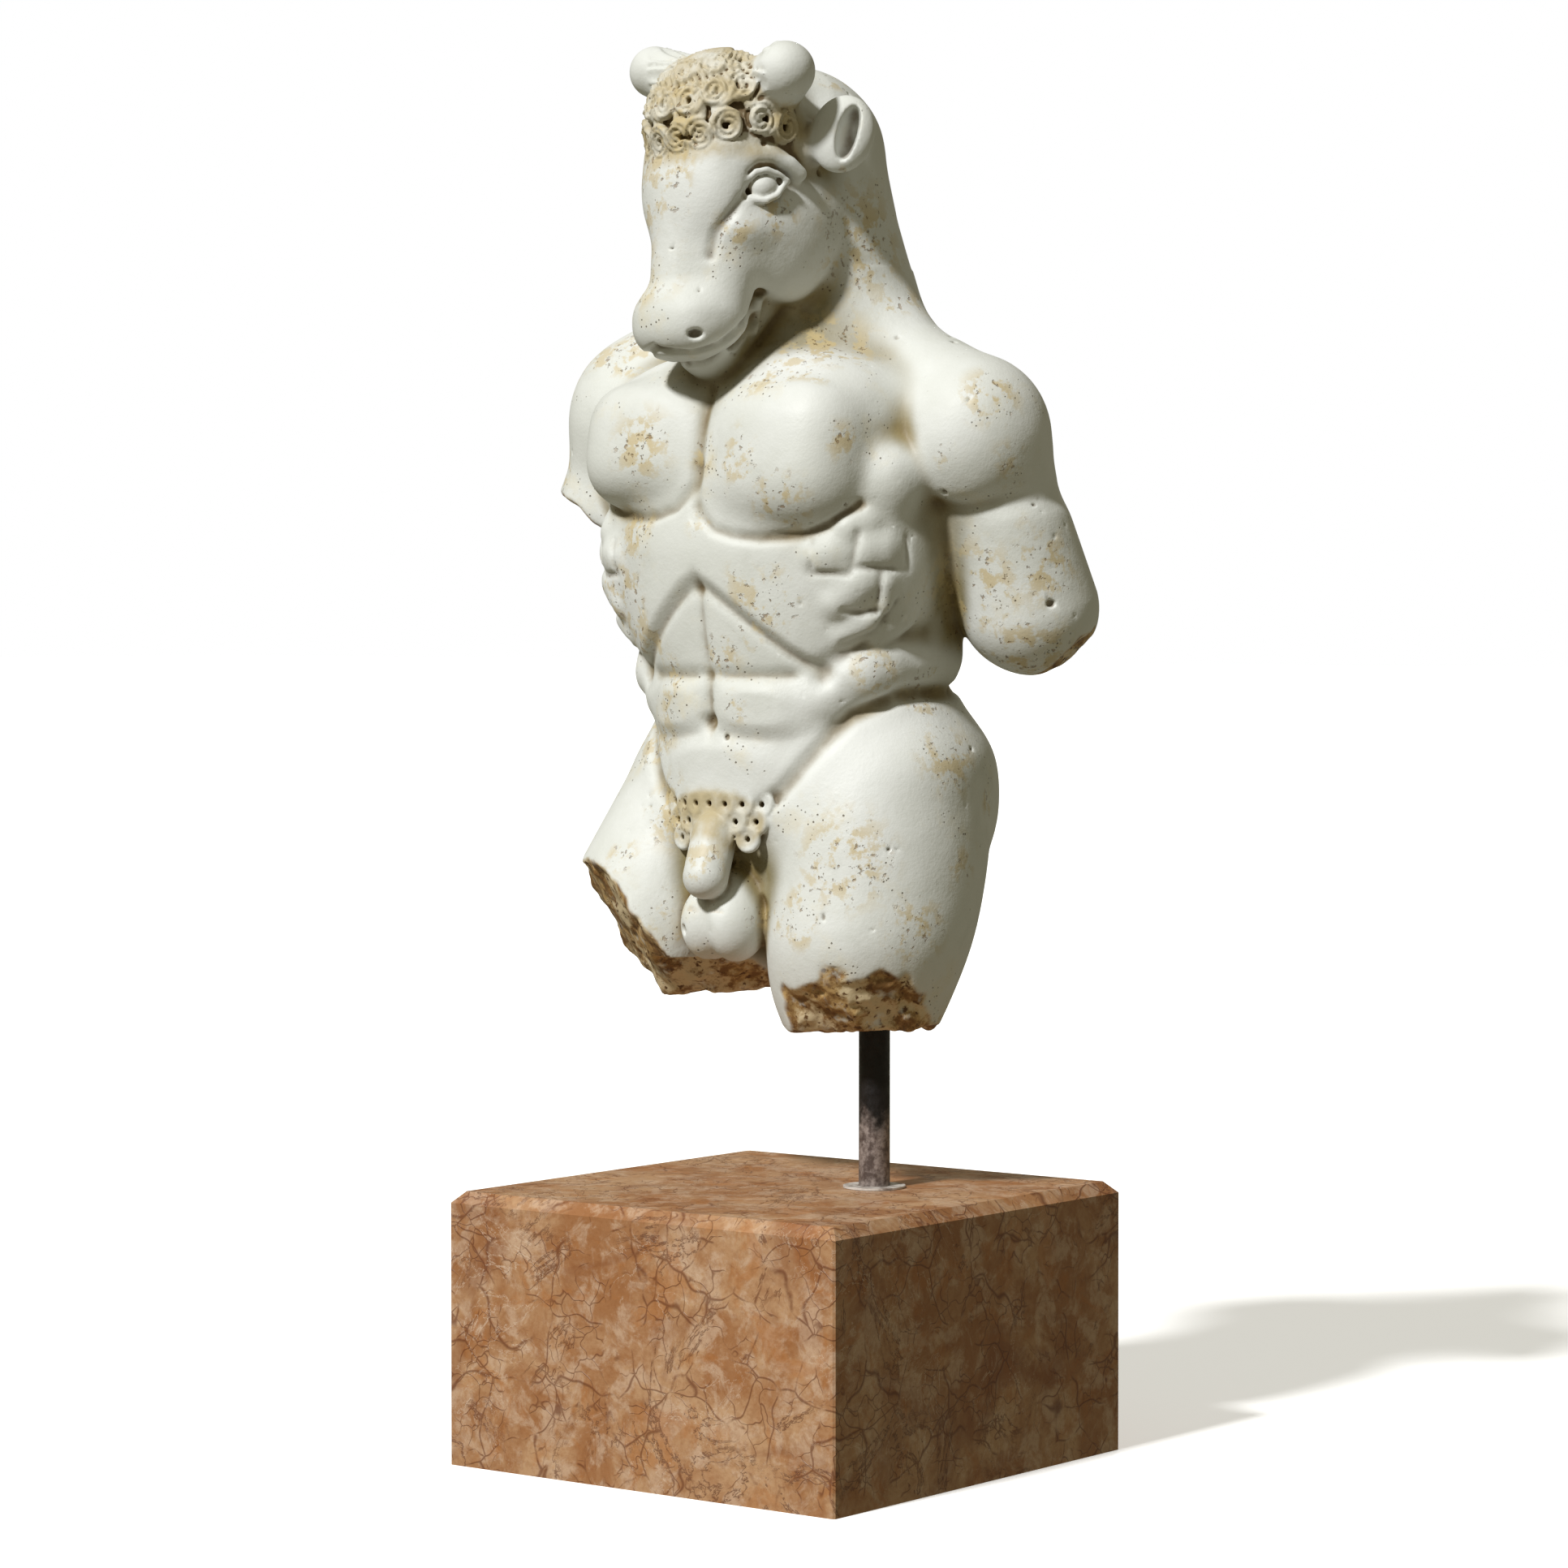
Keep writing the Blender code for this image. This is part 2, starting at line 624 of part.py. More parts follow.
# The locks: azimuth at the brow, rise of the ringlet at the end, and rise of the crown end
LOCKS = (
    (-88, -5, 40), (-67, -3, 56), (-46, -7, 64), (-27, -12, 70), (-8, -15, 72), (11, -13, 72),
    (30, -11, 70), (50, -5, 66), (72, 0, 54), (94, -5, 34),
    (-60, 22, 62), (-38, 18, 70), (-18, 13, 74), (1, 12, 78), (20, 14, 78), (40, 20, 76), (61, 25, 64),
    (-48, 44, 78), (-17, 38, 84), (10, 38, 86), (36, 45, 86), (58, 50, 80),
)


def lock(clay, azimuth, low, high, number):
    """One wavy lock of two strands that runs down from the crown and ends in a ringlet."""
    share = np.linspace(0, 1, 9)
    rises = high + (low - high) * share
    sway = 4.5 * np.sin(5.2 * share + 1.9 * number)
    turns = azimuth * (0.62 + 0.38 * share) + sway * share
    frames = [cap_frame(turn, rise) for turn, rise in zip(turns, rises)]
    for offset in (-STRAND_SPACING / 2, STRAND_SPACING / 2):
        strand = [frame.place((offset, 0, STRAND_RADIUS / 2)) for frame in frames]
        roll(clay, BODY, strand, STRAND_RADIUS, 1.0)
    curl(clay, frames[-1].inner((0, 0, CURL_LIFT), np.eye(3)), 1.0)


def hair(clay):
    cut, x, y, z = clay.around(HEAD, CAP_MIDDLE, max(CAP_RADII) + 14)
    cap = egg_distance(x, y, z, CAP_RADII)
    clay.join(cut, np.maximum(cap, CAP_EDGE - z), 3)
    for number, (azimuth, low, high) in reversed(list(enumerate(LOCKS))):
        lock(clay, azimuth, low, high, number)


def ears_and_horns(clay):
    for side in (-1, 1):
        ear = facing(HEAD, (side * 79, 41, 23), (side * 0.60, -0.79, 0.08), (side * 0.30, 0, 1))
        limb(clay, HEAD, (side * 50, 30, 16), (side * 70, 46, 20), 16, 12, 10)
        egg(clay, ear, (0, 0, 0), (24, 29, 13), 5)
        hollow(clay, ear, (side * 6, 1, 13), (8, 22, 20), 1.5)
    limb(clay, HEAD, (42, 2, 56), (69, -6, 67), 24, 22, 5)
    limb(clay, HEAD, (-42, 0, 64), (-73, -14, 77), 23, 19.5, 5)


# The furrow from the inner corner of the eye down the cheek
TEAR_LINE = ((46, -32, -27), (40, -39, -40), (35, -45, -52), (33, -48, -68))


def eye(clay, side):
    """One eye, in a frame of its own: across to the nose, up, and out of the socket."""
    (place,) = on_face(clay, [(side * 55, -15, -17)])
    out, up = HEAD.axes @ (side * 0.86, -0.5, 0.05), (0, 0, 1)
    own = facing(BODY, place, out, up).inner((0, 0, 0), turn_about(2, side * 13))

    def line(*points):
        return [(-side * across, height, forward) for across, height, forward in points]

    hollow(clay, own, (0, 0, 2), (18, 12, 8), 2)
    egg(clay, own, (0, 0, -5.5), (12.5, 11, 12), 0.8)
    upper = line(
        (17, -1, 0), (12, 6.5, 3.0), (4, 10.8, 5.0), (-4, 10.8, 5.0), (-12, 6.5, 2.5), (-18, 0, -1)
    )
    lower = line((17, -1, 0), (10, -8, 2.5), (1, -11, 4.0), (-8, -9, 2.5), (-18, 0, -1))
    roll(clay, own, upper, 2.6, 1.5)
    roll(clay, own, lower, 2.3, 1.5)
    lid_crease = line((20, 1, 1), (13, 11, 4), (3, 15.5, 5), (-7, 15, 4), (-19, 7, 0), (-26, 0, -3))
    groove(clay, own, lid_crease, 2.3, 3.2)
    brow = line((23, 6, -2), (14, 18, 1), (1, 22.5, 2), (-12, 20, 0), (-24, 12, -3), (-30, 4, -7))
    roll(clay, own, brow, 5.5, 9)
    for across, height in ((12.5, -1.5), (-12.5, 1.5)):
        hollow(clay, own, (-side * across, height, 0), (2.4, 2.6, 6), 0.8)
    tear = [(side * across, forward, height) for across, forward, height in TEAR_LINE]
    groove(clay, BODY, on_face(clay, tear), 4, 3)
    swell(clay, HEAD, (side * 52, -22, -48), (14, 22, 12), 5)


def mouth(clay):
    for side in (-1, 1):
        def line(*points):
            return on_face(clay, [(side * across, forward, up) for across, forward, up in points])

        def spot(across, forward, up, radii, blend):
            """A hollow sunk into the face at a point of its skin."""
            (place,) = line((across, forward, up))
            hollow(clay, Frame(place, HEAD.axes), (0, 0, 0), radii, blend)

        upper = line((0, -72, -135), (14, -66, -138), (24, -58, -139), (34, -41, -133), (37, -28, -121),
                     (38, -15, -109), (38, -9, -99))
        lower = line((0, -62, -146), (12, -61, -146), (22, -48, -146), (30, -33, -139), (33, -20, -128))
        groove(clay, BODY, upper, 2.6, 6)
        groove(clay, BODY, lower, 2.4, 4)
        # The lobe behind the corner of the mouth, its open corner, and the hollow over it
        roll(clay, BODY, line((38, -2, -99), (40, 3, -110), (38, 6, -121)), 4, 4)
        trench(clay, BODY, line((36, -3, -112), (34, -13, -123), (31, -24, -133)), 5, 2)
        spot(41, -5, -94, (5, 7, 4), 2)
        # Nostril
        spot(34, -62, -126, (7, 6, 4), 2)


# The crease behind the jaw
JAW_LINE = ((62, 72, -14), (64, 66, -52), (56, 54, -84), (40, 40, -106))


def head(clay):
    egg(clay, HEAD, (0, 2, 24), (59, 58, 54), 18)
    # The poll, where the neck's crest reaches the head
    limb(clay, HEAD, (0, 8, 48), (0, 60, 34), 28, 42, 20)
    plate(clay, HEAD.inner((0, -22, -8), turn_about(0, -3)), (53, 38, 50), 2.8, 12)
    limb(clay, HEAD, (0, -26, -20), (0, -40, -96), 38, 30, 18)
    plate(clay, HEAD.inner((0, -42, -116), np.eye(3)), (42, 37, 29), 2.4, 12)
    for side in (-1, 1):
        egg(clay, HEAD, (side * 36, 22, -46), (27, 50, 54), 14)
        # The flat side of the nose, from the cheek to the muzzle
        limb(clay, HEAD, (side * 24, -20, -58), (side * 24, -32, -104), 25, 21, 14)
    limb(clay, HEAD, (0, 6, -86), (0, -20, -131), 35, 26, 8)
    for side in (-1, 1):
        jaw = [(side * across, forward, height) for across, forward, height in JAW_LINE]
        groove(clay, HEAD, jaw, 7, 6)
        hollow(clay, HEAD, (side * 54, 46, 64), (18, 17, 20), 5)
    hair(clay)
    ears_and_horns(clay)
    for side in (-1, 1):
        eye(clay, side)
    mouth(clay)


def carved_figure(step):
    """The whole carving as a mesh: points in parts from the lowest point of the left thigh, and faces."""
    clay = Clay((-236, -190, -12), (250, 170, 750), step)
    trunk(clay)
    pelvis_and_thighs(clay)
    front_relief(clay)
    shoulders_and_arms(clay)
    chest(clay)
    flanks(clay)
    back(clay)
    genitals(clay)
    low_hair(clay)
    neck(clay)
    head(clay)
    breaks(clay)
    return surface(clay)


def surface(clay):
    """The zero surface of the clay as quads."""
    grid = openvdb.FloatGrid(FAR_OUTSIDE)
    grid.copyFromArray(np.ascontiguousarray(clay.field))
    points, quads = outer_shell(*grid.convertToQuads(0.0))
    return points * clay.step + clay.low, quads


def outer_shell(points, quads):
    """The largest connected surface, without any small hollow shut inside it."""
    label = np.arange(len(points))
    while True:
        joined = label.copy()
        np.minimum.at(joined, quads, label[quads].min(axis=1)[:, None])
        joined = joined[joined]
        if np.array_equal(joined, label):
            break
        label = joined
    largest = np.bincount(label).argmax()
    kept = label == largest
    renumbered = np.cumsum(kept) - 1
    return points[kept], renumbered[quads[kept[quads[:, 0]]]]


def clear_scene():
    for old in list(bpy.data.objects):
        bpy.data.objects.remove(old, do_unlink=True)


def material(name, colour, roughness, metallic=0.0):
    made = bpy.data.materials.new(name)
    made.use_nodes = True
    shader = made.node_tree.nodes["Principled BSDF"]
    shader.inputs["Base Color"].default_value = (*colour, 1.0)
    shader.inputs["Roughness"].default_value = roughness
    shader.inputs["Metallic"].default_value = metallic
    return made


def place_mesh(name, mesh, collection, look=None):
    if look:
        mesh.materials.append(look)
    made = bpy.data.objects.new(name, mesh)
    collection.objects.link(made)
    return made


def from_bmesh(name, shape, collection, look=None):
    mesh = bpy.data.meshes.new(name)
    shape.to_mesh(mesh)
    shape.free()
    return place_mesh(name, mesh, collection, look)


def round_bar(name, radius, low, high, middle, collection, look=None):
    """An upright cylinder between two heights; middle is its x and y."""
    shape = bmesh.new()
    bmesh.ops.create_cone(
        shape, cap_ends=True, segments=POST_SIDES, radius1=radius, radius2=radius, depth=high - low
    )
    made = from_bmesh(name, shape, collection, look)
    made.location = (*middle, (low + high) / 2)
    return made


def drill(body, name, radius, low, high, middle, cutters):
    """A round blind hole, cut with a bar that runs past the surface."""
    bar = round_bar(name, radius, low, high, middle, cutters)
    bar.hide_render = True
    bar.display_type = "WIRE"
    cut = body.modifiers.new(name, "BOOLEAN")
    cut.operation = "DIFFERENCE"
    cut.solver = "EXACT"
    cut.object = bar


def plinth(model, cutters, look):
    """The block, with eased upright corners and a bevel round its top."""
    shape = bmesh.new()
    bmesh.ops.create_cube(shape, size=1.0)
    bmesh.ops.scale(shape, vec=(PLINTH_WIDTH, PLINTH_DEPTH, PLINTH_HEIGHT), verts=shape.verts)
    bmesh.ops.translate(shape, vec=(0, 0, PLINTH_HEIGHT / 2), verts=shape.verts)
    top = [edge for edge in shape.edges if min(v.co.z for v in edge.verts) > PLINTH_HEIGHT - FLAT]
    bmesh.ops.bevel(shape, geom=top, offset=PLINTH_TOP_BEVEL, segments=1, affect="EDGES")
    # The upright edges, and those that run on from them across the bevel
    rising = [edge for edge in shape.edges if abs(edge.verts[0].co.z - edge.verts[1].co.z) > FLAT]
    bmesh.ops.bevel(shape, geom=rising, offset=PLINTH_CORNER_BEVEL, segments=1, affect="EDGES")
    block = from_bmesh("plinth", shape, model, look)
    low, high = PLINTH_HEIGHT - PLINTH_HOLE_DEPTH, PLINTH_HEIGHT + CUTTER_OVERRUN
    drill(block, "plinth_hole", HOLE_RADIUS, low, high, (POST_X, POST_Y), cutters)


def post(model, look):
    """The bar, from the floor of the plinth's hole to the end of the thigh's, with eased ends."""
    low = PLINTH_HEIGHT - PLINTH_HOLE_DEPTH + REST_GAP
    high = STATUE_BASE + THIGH_HOLE_DEPTH - REST_GAP
    bar = round_bar("post", POST_DIAMETER / 2, low, high, (POST_X, POST_Y), model, look)
    ends = bar.modifiers.new("ends", "BEVEL")
    ends.width = POST_END_CHAMFER
    ends.segments = 1
    ends.limit_method = "ANGLE"
    ends.angle_limit = math.radians(60)
    bar.data.shade_smooth()
    bar.data.set_sharp_from_angle(angle=math.radians(35))


def foot_ring(model, look):
    """The plate: its section, turned about the post's line."""
    inner, outer = HOLE_RADIUS, RING_DIAMETER / 2
    section = ((inner, 0), (inner, RING_THICKNESS), (outer, RING_THICKNESS), (outer, 0))
    mesh = bpy.data.meshes.new("foot_ring")
    edges = [(number, (number + 1) % len(section)) for number in range(len(section))]
    mesh.from_pydata([(radius, 0, height) for radius, height in section], edges, [])
    ring = place_mesh("foot_ring", mesh, model, look)
    ring.location = (POST_X, POST_Y, PLINTH_HEIGHT + REST_GAP)
    turn = ring.modifiers.new("turned", "SCREW")
    turn.steps = turn.render_steps = POST_SIDES
    turn.use_merge_vertices = True
    turn.merge_threshold = 0.0001


def statue(model, cutters, look):
    points, quads = carved_figure(CARVING_STEP)
    turn = turn_about(2, -math.degrees(FIGURE_TURN))
    hole = turn @ np.array(HOLE_IN_FIGURE) * PART
    place = np.array((POST_X, POST_Y, STATUE_BASE)) - hole
    mesh = bpy.data.meshes.new("statue")
    mesh.from_pydata((points * PART @ turn.T + place).tolist(), [], quads.tolist())
    mesh.shade_smooth()
    figure = place_mesh("statue", mesh, model, look)
    thin = figure.modifiers.new("facets", "DECIMATE")
    thin.ratio = CARVING_TRIANGLES / (2 * len(quads))
    low, high = STATUE_BASE - CUTTER_OVERRUN, STATUE_BASE + THIGH_HOLE_DEPTH
    drill(figure, "thigh_hole", HOLE_RADIUS, low, high, (POST_X, POST_Y), cutters)


def main():
    clear_scene()
    scene = bpy.context.scene
    scene.unit_settings.system = "METRIC"
    scene.unit_settings.scale_length = 1.0
    model = bpy.data.collections.new("minotaur_statue")
    cutters = bpy.data.collections.new("cutters")
    cutters.hide_render = True
    scene.collection.children.link(model)
    scene.collection.children.link(cutters)
    plinth(model, cutters, material("pink_stone", (0.50, 0.30, 0.21), 0.45))
    post(model, material("dark_steel", (0.11, 0.10, 0.10), 0.4, 1.0))
    foot_ring(model, material("pale_plate", (0.62, 0.60, 0.57), 0.5))
    statue(model, cutters, material("white_marble", (0.80, 0.77, 0.68), 0.6))


if __name__ == "__main__":
    main()
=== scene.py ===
"""Looks for the marble torso of a minotaur, held by a steel post over a stone plinth.

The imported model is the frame. The carving is laid out in parts, of which the figure's height has 737, with
the torso facing -Y and its left side towards +X. All else is in metres.
"""

import json
import math

import bpy
import numpy as np
import openvdb
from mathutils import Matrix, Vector
from numpy.linalg import norm

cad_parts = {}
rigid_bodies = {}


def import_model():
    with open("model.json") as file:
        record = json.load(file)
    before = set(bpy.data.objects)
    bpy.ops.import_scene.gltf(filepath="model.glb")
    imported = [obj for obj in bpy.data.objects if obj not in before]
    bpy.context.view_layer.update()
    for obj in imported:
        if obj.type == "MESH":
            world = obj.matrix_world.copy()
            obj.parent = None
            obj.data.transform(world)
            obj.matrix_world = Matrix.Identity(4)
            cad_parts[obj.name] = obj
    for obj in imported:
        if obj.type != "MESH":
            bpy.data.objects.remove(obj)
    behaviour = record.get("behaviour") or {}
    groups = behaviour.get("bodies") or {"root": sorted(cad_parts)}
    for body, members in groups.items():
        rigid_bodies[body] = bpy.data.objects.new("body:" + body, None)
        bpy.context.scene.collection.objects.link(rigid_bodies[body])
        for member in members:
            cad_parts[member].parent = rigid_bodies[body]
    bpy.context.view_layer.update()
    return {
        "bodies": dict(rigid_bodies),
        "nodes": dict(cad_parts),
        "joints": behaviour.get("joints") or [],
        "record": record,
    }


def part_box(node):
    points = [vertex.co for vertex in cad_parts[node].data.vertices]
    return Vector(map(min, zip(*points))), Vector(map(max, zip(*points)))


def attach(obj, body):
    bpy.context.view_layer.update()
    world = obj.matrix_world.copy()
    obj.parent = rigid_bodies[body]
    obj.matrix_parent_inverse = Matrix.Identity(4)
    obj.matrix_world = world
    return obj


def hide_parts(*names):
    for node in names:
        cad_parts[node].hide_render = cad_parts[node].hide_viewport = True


# The carving's place, as in the part's source
POST_X = 0.056
POST_Y = 0.034
POST_SEEN = 0.122
POST_DIAMETER = 0.0235
FIGURE_HEIGHT = 0.737
FIGURE_TURN = math.radians(3.0)
PARTS_IN_HEIGHT = 737
PART = FIGURE_HEIGHT / PARTS_IN_HEIGHT
HOLE_IN_FIGURE = (74.5, 0.5, 0.0)
THIGH_HOLE_DEPTH = 0.085

# How much wider than the post its hole is, all round, in parts
HOLE_CLEARANCE = 0.4

# How finely it is carved here: the grid's step, in parts, and the triangles that are kept
CARVING_STEP = 1.5
CARVING_TRIANGLES = 190000

# Two corners of the block that it is carved from, the distance that empty space starts with, and how
# far a line is followed to the skin, in parts
BLOCK = ((-236, -190, -12), (250, 170, 750))
FAR_OUTSIDE = 60.0
SKIN_REACH = 200


def ramp(value, low, high):
    """0 under low, 1 over high, and a smooth ramp between them."""
    share = np.clip((value - low) / (high - low), 0.0, 1.0)
    return share * share * (3.0 - 2.0 * share)


def turn_about(axis, degrees):
    """Rotation matrix about one of the three axes, 0 to 2."""
    angle = math.radians(degrees)
    first, second = [(1, 2), (2, 0), (0, 1)][axis]
    turn = np.eye(3)
    turn[first, first] = turn[second, second] = math.cos(angle)
    turn[first, second] = -math.sin(angle)
    turn[second, first] = math.sin(angle)
    return turn


class Frame:
    """A place to carve from: its origin in the figure, and its axes as the columns of a matrix."""

    def __init__(self, origin, axes):
        self.origin = np.array(origin, float)
        self.axes = np.array(axes, float)

    def place(self, point):
        return self.origin + self.axes @ np.array(point, float)

    def inner(self, origin, axes):
        return Frame(self.place(origin), self.axes @ axes)


def facing(frame, origin, out, up):
    """A frame inside another: its third axis points out, and its second as near to up as that allows."""
    out = np.array(out, float) / norm(out)
    up = np.array(up, float) - np.dot(up, out) * out
    up /= norm(up)
    return frame.inner(origin, np.column_stack((np.cross(up, out), up, out)))


class Clay:
    """The block that is carved: signed distances to the surface on a grid, below zero inside."""

    def __init__(self, low, high, step):
        self.low = np.array(low, float)
        self.step = step
        counts = [int(math.ceil((b - a) / step)) + 1 for a, b in zip(low, high)]
        self.axes = [a + step * np.arange(n) for a, n in zip(low, counts)]
        self.field = np.full(counts, FAR_OUTSIDE, np.float32)
        self.broken = np.zeros(counts, np.float32)

    def window(self, low, high):
        """The part of the grid between two corners, and its coordinates."""
        cut = tuple(slice(*np.searchsorted(axis, ends)) for axis, *ends in zip(self.axes, low, high))
        shapes = ((-1, 1, 1), (1, -1, 1), (1, 1, -1))
        x, y, z = (
            axis[part].astype(np.float32).reshape(shape)
            for axis, part, shape in zip(self.axes, cut, shapes)
        )
        return cut, x, y, z

    def around(self, frame, centre, reach):
        """The window within a reach of a point of the frame, measured from it along the frame's axes."""
        place = frame.place(centre)
        cut, x, y, z = self.window(place - reach, place + reach)
        x, y, z = x - place[0], y - place[1], z - place[2]
        axes = frame.axes.T
        return (cut, *(row[0] * x + row[1] * y + row[2] * z for row in axes))

    def join(self, cut, distance, blend):
        """Adds a shape, rounded into what is there over the blend's width."""
        here = self.field[cut]
        overlap = np.maximum(blend - np.abs(here - distance), 0.0) / blend
        self.field[cut] = np.minimum(here, distance) - overlap * overlap * blend / 4

    def carve(self, cut, distance, blend):
        """Takes a shape away, with its edge rounded over the blend's width."""
        here = self.field[cut]
        overlap = np.maximum(blend - np.abs(here + distance), 0.0) / blend
        self.field[cut] = np.maximum(here, -distance) + overlap * overlap * blend / 4

    def raise_by(self, cut, height):
        self.field[cut] -= height


def egg_distance(x, y, z, radii):
    """Distance to an ellipsoid, near enough for blending."""
    rx, ry, rz = radii
    reach = np.sqrt((x / rx) ** 2 + (y / ry) ** 2 + (z / rz) ** 2)
    slope = np.sqrt((x / rx**2) ** 2 + (y / ry**2) ** 2 + (z / rz**2) ** 2)
    return reach * (reach - 1.0) / np.maximum(slope, 1e-6)


def egg(clay, frame, centre, radii, blend):
    """An ellipsoid mass."""
    cut, x, y, z = clay.around(frame, centre, max(radii) + blend)
    clay.join(cut, egg_distance(x, y, z, radii), blend)


def hollow(clay, frame, centre, radii, blend):
    """An ellipsoid taken away."""
    cut, x, y, z = clay.around(frame, centre, max(radii) + blend)
    clay.carve(cut, egg_distance(x, y, z, radii), blend)


def rod_distance(x, y, z, start, end, start_radius, end_radius):
    """Distance to a round bar that tapers from one radius to the other."""
    x, y, z = x - start[0], y - start[1], z - start[2]
    span = np.subtract(end, start)
    share = np.clip((x * span[0] + y * span[1] + z * span[2]) / (span @ span), 0.0, 1.0)
    away = np.sqrt(sum((v - share * length) ** 2 for v, length in zip((x, y, z), span)))
    return away - (start_radius + (end_radius - start_radius) * share)


def limb(clay, frame, start, end, start_radius, end_radius, blend):
    """A round, tapering mass between two points."""
    middle = np.add(start, end) / 2
    reach = norm(np.subtract(end, start)) / 2 + max(start_radius, end_radius) + blend
    cut, x, y, z = clay.around(frame, middle, reach)
    clay.join(cut, rod_distance(x, y, z, start - middle, end - middle, start_radius, end_radius), blend)


def station_curve(stations, column, height):
    """One column of a table of sections, run smoothly from station to station."""
    heights = np.array([row[0] for row in stations], float)
    values = np.array([row[column] for row in stations], float)
    slopes = np.gradient(values, heights)
    at = np.clip(np.searchsorted(heights, height) - 1, 0, len(heights) - 2)
    span = heights[at + 1] - heights[at]
    t = np.clip((height - heights[at]) / span, 0.0, 1.0)
    a, b = values[at], values[at + 1]
    rise = b - a
    bend_a, bend_b = slopes[at] * span - rise, rise - slopes[at + 1] * span
    return a + rise * t + t * (1 - t) * ((1 - t) * bend_a + t * bend_b)


def boxy(square, *shares):
    """How far out a point is in a rounded box, from its shares of the half widths; 2 makes the box round."""
    return sum(np.abs(share) ** square for share in shares) ** (1 / square)


def lofted(clay, stations, blend, square):
    """A mass given by level sections, oval in front and boxy at the back."""
    low_z, high_z = stations[0][0], stations[-1][0]
    wide = max(abs(row[1]) + row[3] for row in stations) + blend
    cut, x, y, z = clay.window((-wide, -wide, low_z - blend), (wide, wide, high_z + blend))
    flat = z.reshape(-1)
    mid_x, mid_y, half, front, back = (
        station_curve(stations, column, flat).astype(np.float32).reshape(z.shape)
        for column in range(1, 6)
    )
    across = np.abs(x - mid_x)
    forward = y - mid_y
    oval = np.sqrt((across / half) ** 2 + (forward / front) ** 2)
    reach = np.maximum(np.where(forward < 0, oval, boxy(square, across / half, forward / back)), 1e-3)
    away = np.sqrt(across**2 + forward**2)
    distance = (1.0 - 1.0 / reach) * away
    ends = np.maximum(low_z - z, z - high_z)
    clay.join(cut, np.maximum(distance, ends), blend)


# Where the middle of the head lies, from front to back, in the head's own frame
MUZZLE_AXIS = -24

BODY = Frame((0, 0, 0), np.eye(3))
HEAD = Frame((-6, -70, 640), turn_about(2, -9.0))

# Sections of the trunk: height, middle x, middle y, half width, front depth, back depth
TRUNK = (
    (110, 0, 5, 90, 78, 60),
    (150, 0, 5, 112, 96, 76),
    (190, 0, 5, 118, 104, 74),
    (227, 0, 5, 116, 106, 70),
    (262, -1, 5, 117, 108, 70),
    (300, -6, 5, 133, 113, 76),
    (342, -10, 5, 143, 116, 84),
    (400, -8, 8, 138, 118, 92),
    (440, -6, 12, 130, 112, 92),
    (480, -6, 18, 106, 90, 80),
    (515, -4, 24, 72, 60, 60),
    (550, -4, 24, 34, 32, 34),
)

# Sections of the left thigh and hip, laid out in the same way
LEFT_THIGH = (
    (-8, 74, -14, 55, 56, 46),
    (22, 76, -14, 67, 69, 58),
    (62, 81, -12, 76, 82, 69),
    (110, 80, -4, 80, 86, 78),
    (165, 74, 2, 82, 86, 88),
    (205, 72, 6, 78, 76, 88),
    (240, 63, 8, 63, 58, 72),
    (275, 58, 8, 40, 36, 46),
)


def midline(z):
    """How far the body's middle line leans to its right, by height."""
    return -6.0 * ramp(z, 230, 400)


def sampled(grid, low, step, points):
    """Values of a grid at points, run smoothly between its cells."""
    places = (points - low) / step
    whole = np.clip(np.floor(places).astype(int), 0, np.array(grid.shape) - 2)
    share = places - whole
    total = np.zeros(len(points))
    for corner in np.ndindex(2, 2, 2):
        at = tuple((whole + corner).T)
        weight = np.prod(np.where(corner, share, 1 - share), axis=1)
        total += weight * grid[at]
    return total


def skin(clay, start, way):
    """The point where a straight line from inside the figure first leaves it."""
    way = np.array(way, float) / norm(way)
    points = np.array(start, float) + np.arange(0.0, SKIN_REACH, 2.0)[:, None] * way
    values = sampled(clay.field, clay.low, clay.step, points)
    first = max(1, int((values > 0).argmax()))
    inside, outside = values[first - 1], values[first]
    return points[first - 1] + (points[first] - points[first - 1]) * (-inside / (outside - inside))


def mirrored(side, points):
    """Points laid out on the left side, as they are for side 1, and on the right for side -1."""
    return [(side * across, forward, height) for across, forward, height in points]


def on_face(clay, points):
    """Points of the head moved out or in, level, to the skin."""
    moved = []
    for across, forward, height in points:
        start = HEAD.place((0, MUZZLE_AXIS, height))
        moved.append(skin(clay, start, HEAD.axes @ (across, forward - MUZZLE_AXIS, 0)))
    return moved


def on_body(clay, side, points, sunk=0.0):
    """Points of the trunk's left side moved level to the skin, on either side, and sunk into it."""
    moved = []
    for x, y, z in points:
        middle = midline(z)
        way = np.array((side * (x - middle), y, 0.0))
        moved.append(skin(clay, (middle, 0, z), way) - sunk * way / norm(way))
    return moved


def trunk(clay):
    lofted(clay, TRUNK, 20, 3.4)


def pelvis_and_thighs(clay):
    lofted(clay, LEFT_THIGH, 22, 2.2)
    # Buttocks, and the right hip
    egg(clay, BODY, (69, 58, 168), (62, 60, 74), 20)
    egg(clay, BODY, (-60, 52, 158), (60, 58, 72), 20)
    egg(clay, BODY, (-82, 10, 196), (46, 56, 50), 20)
    # Right thigh, carried forward and out
    limb(clay, BODY, (-74, -8, 158), (-104, -74, 50), 74, 68, 24)
    egg(clay, BODY, (-52, -8, 86), (48, 58, 80), 20)


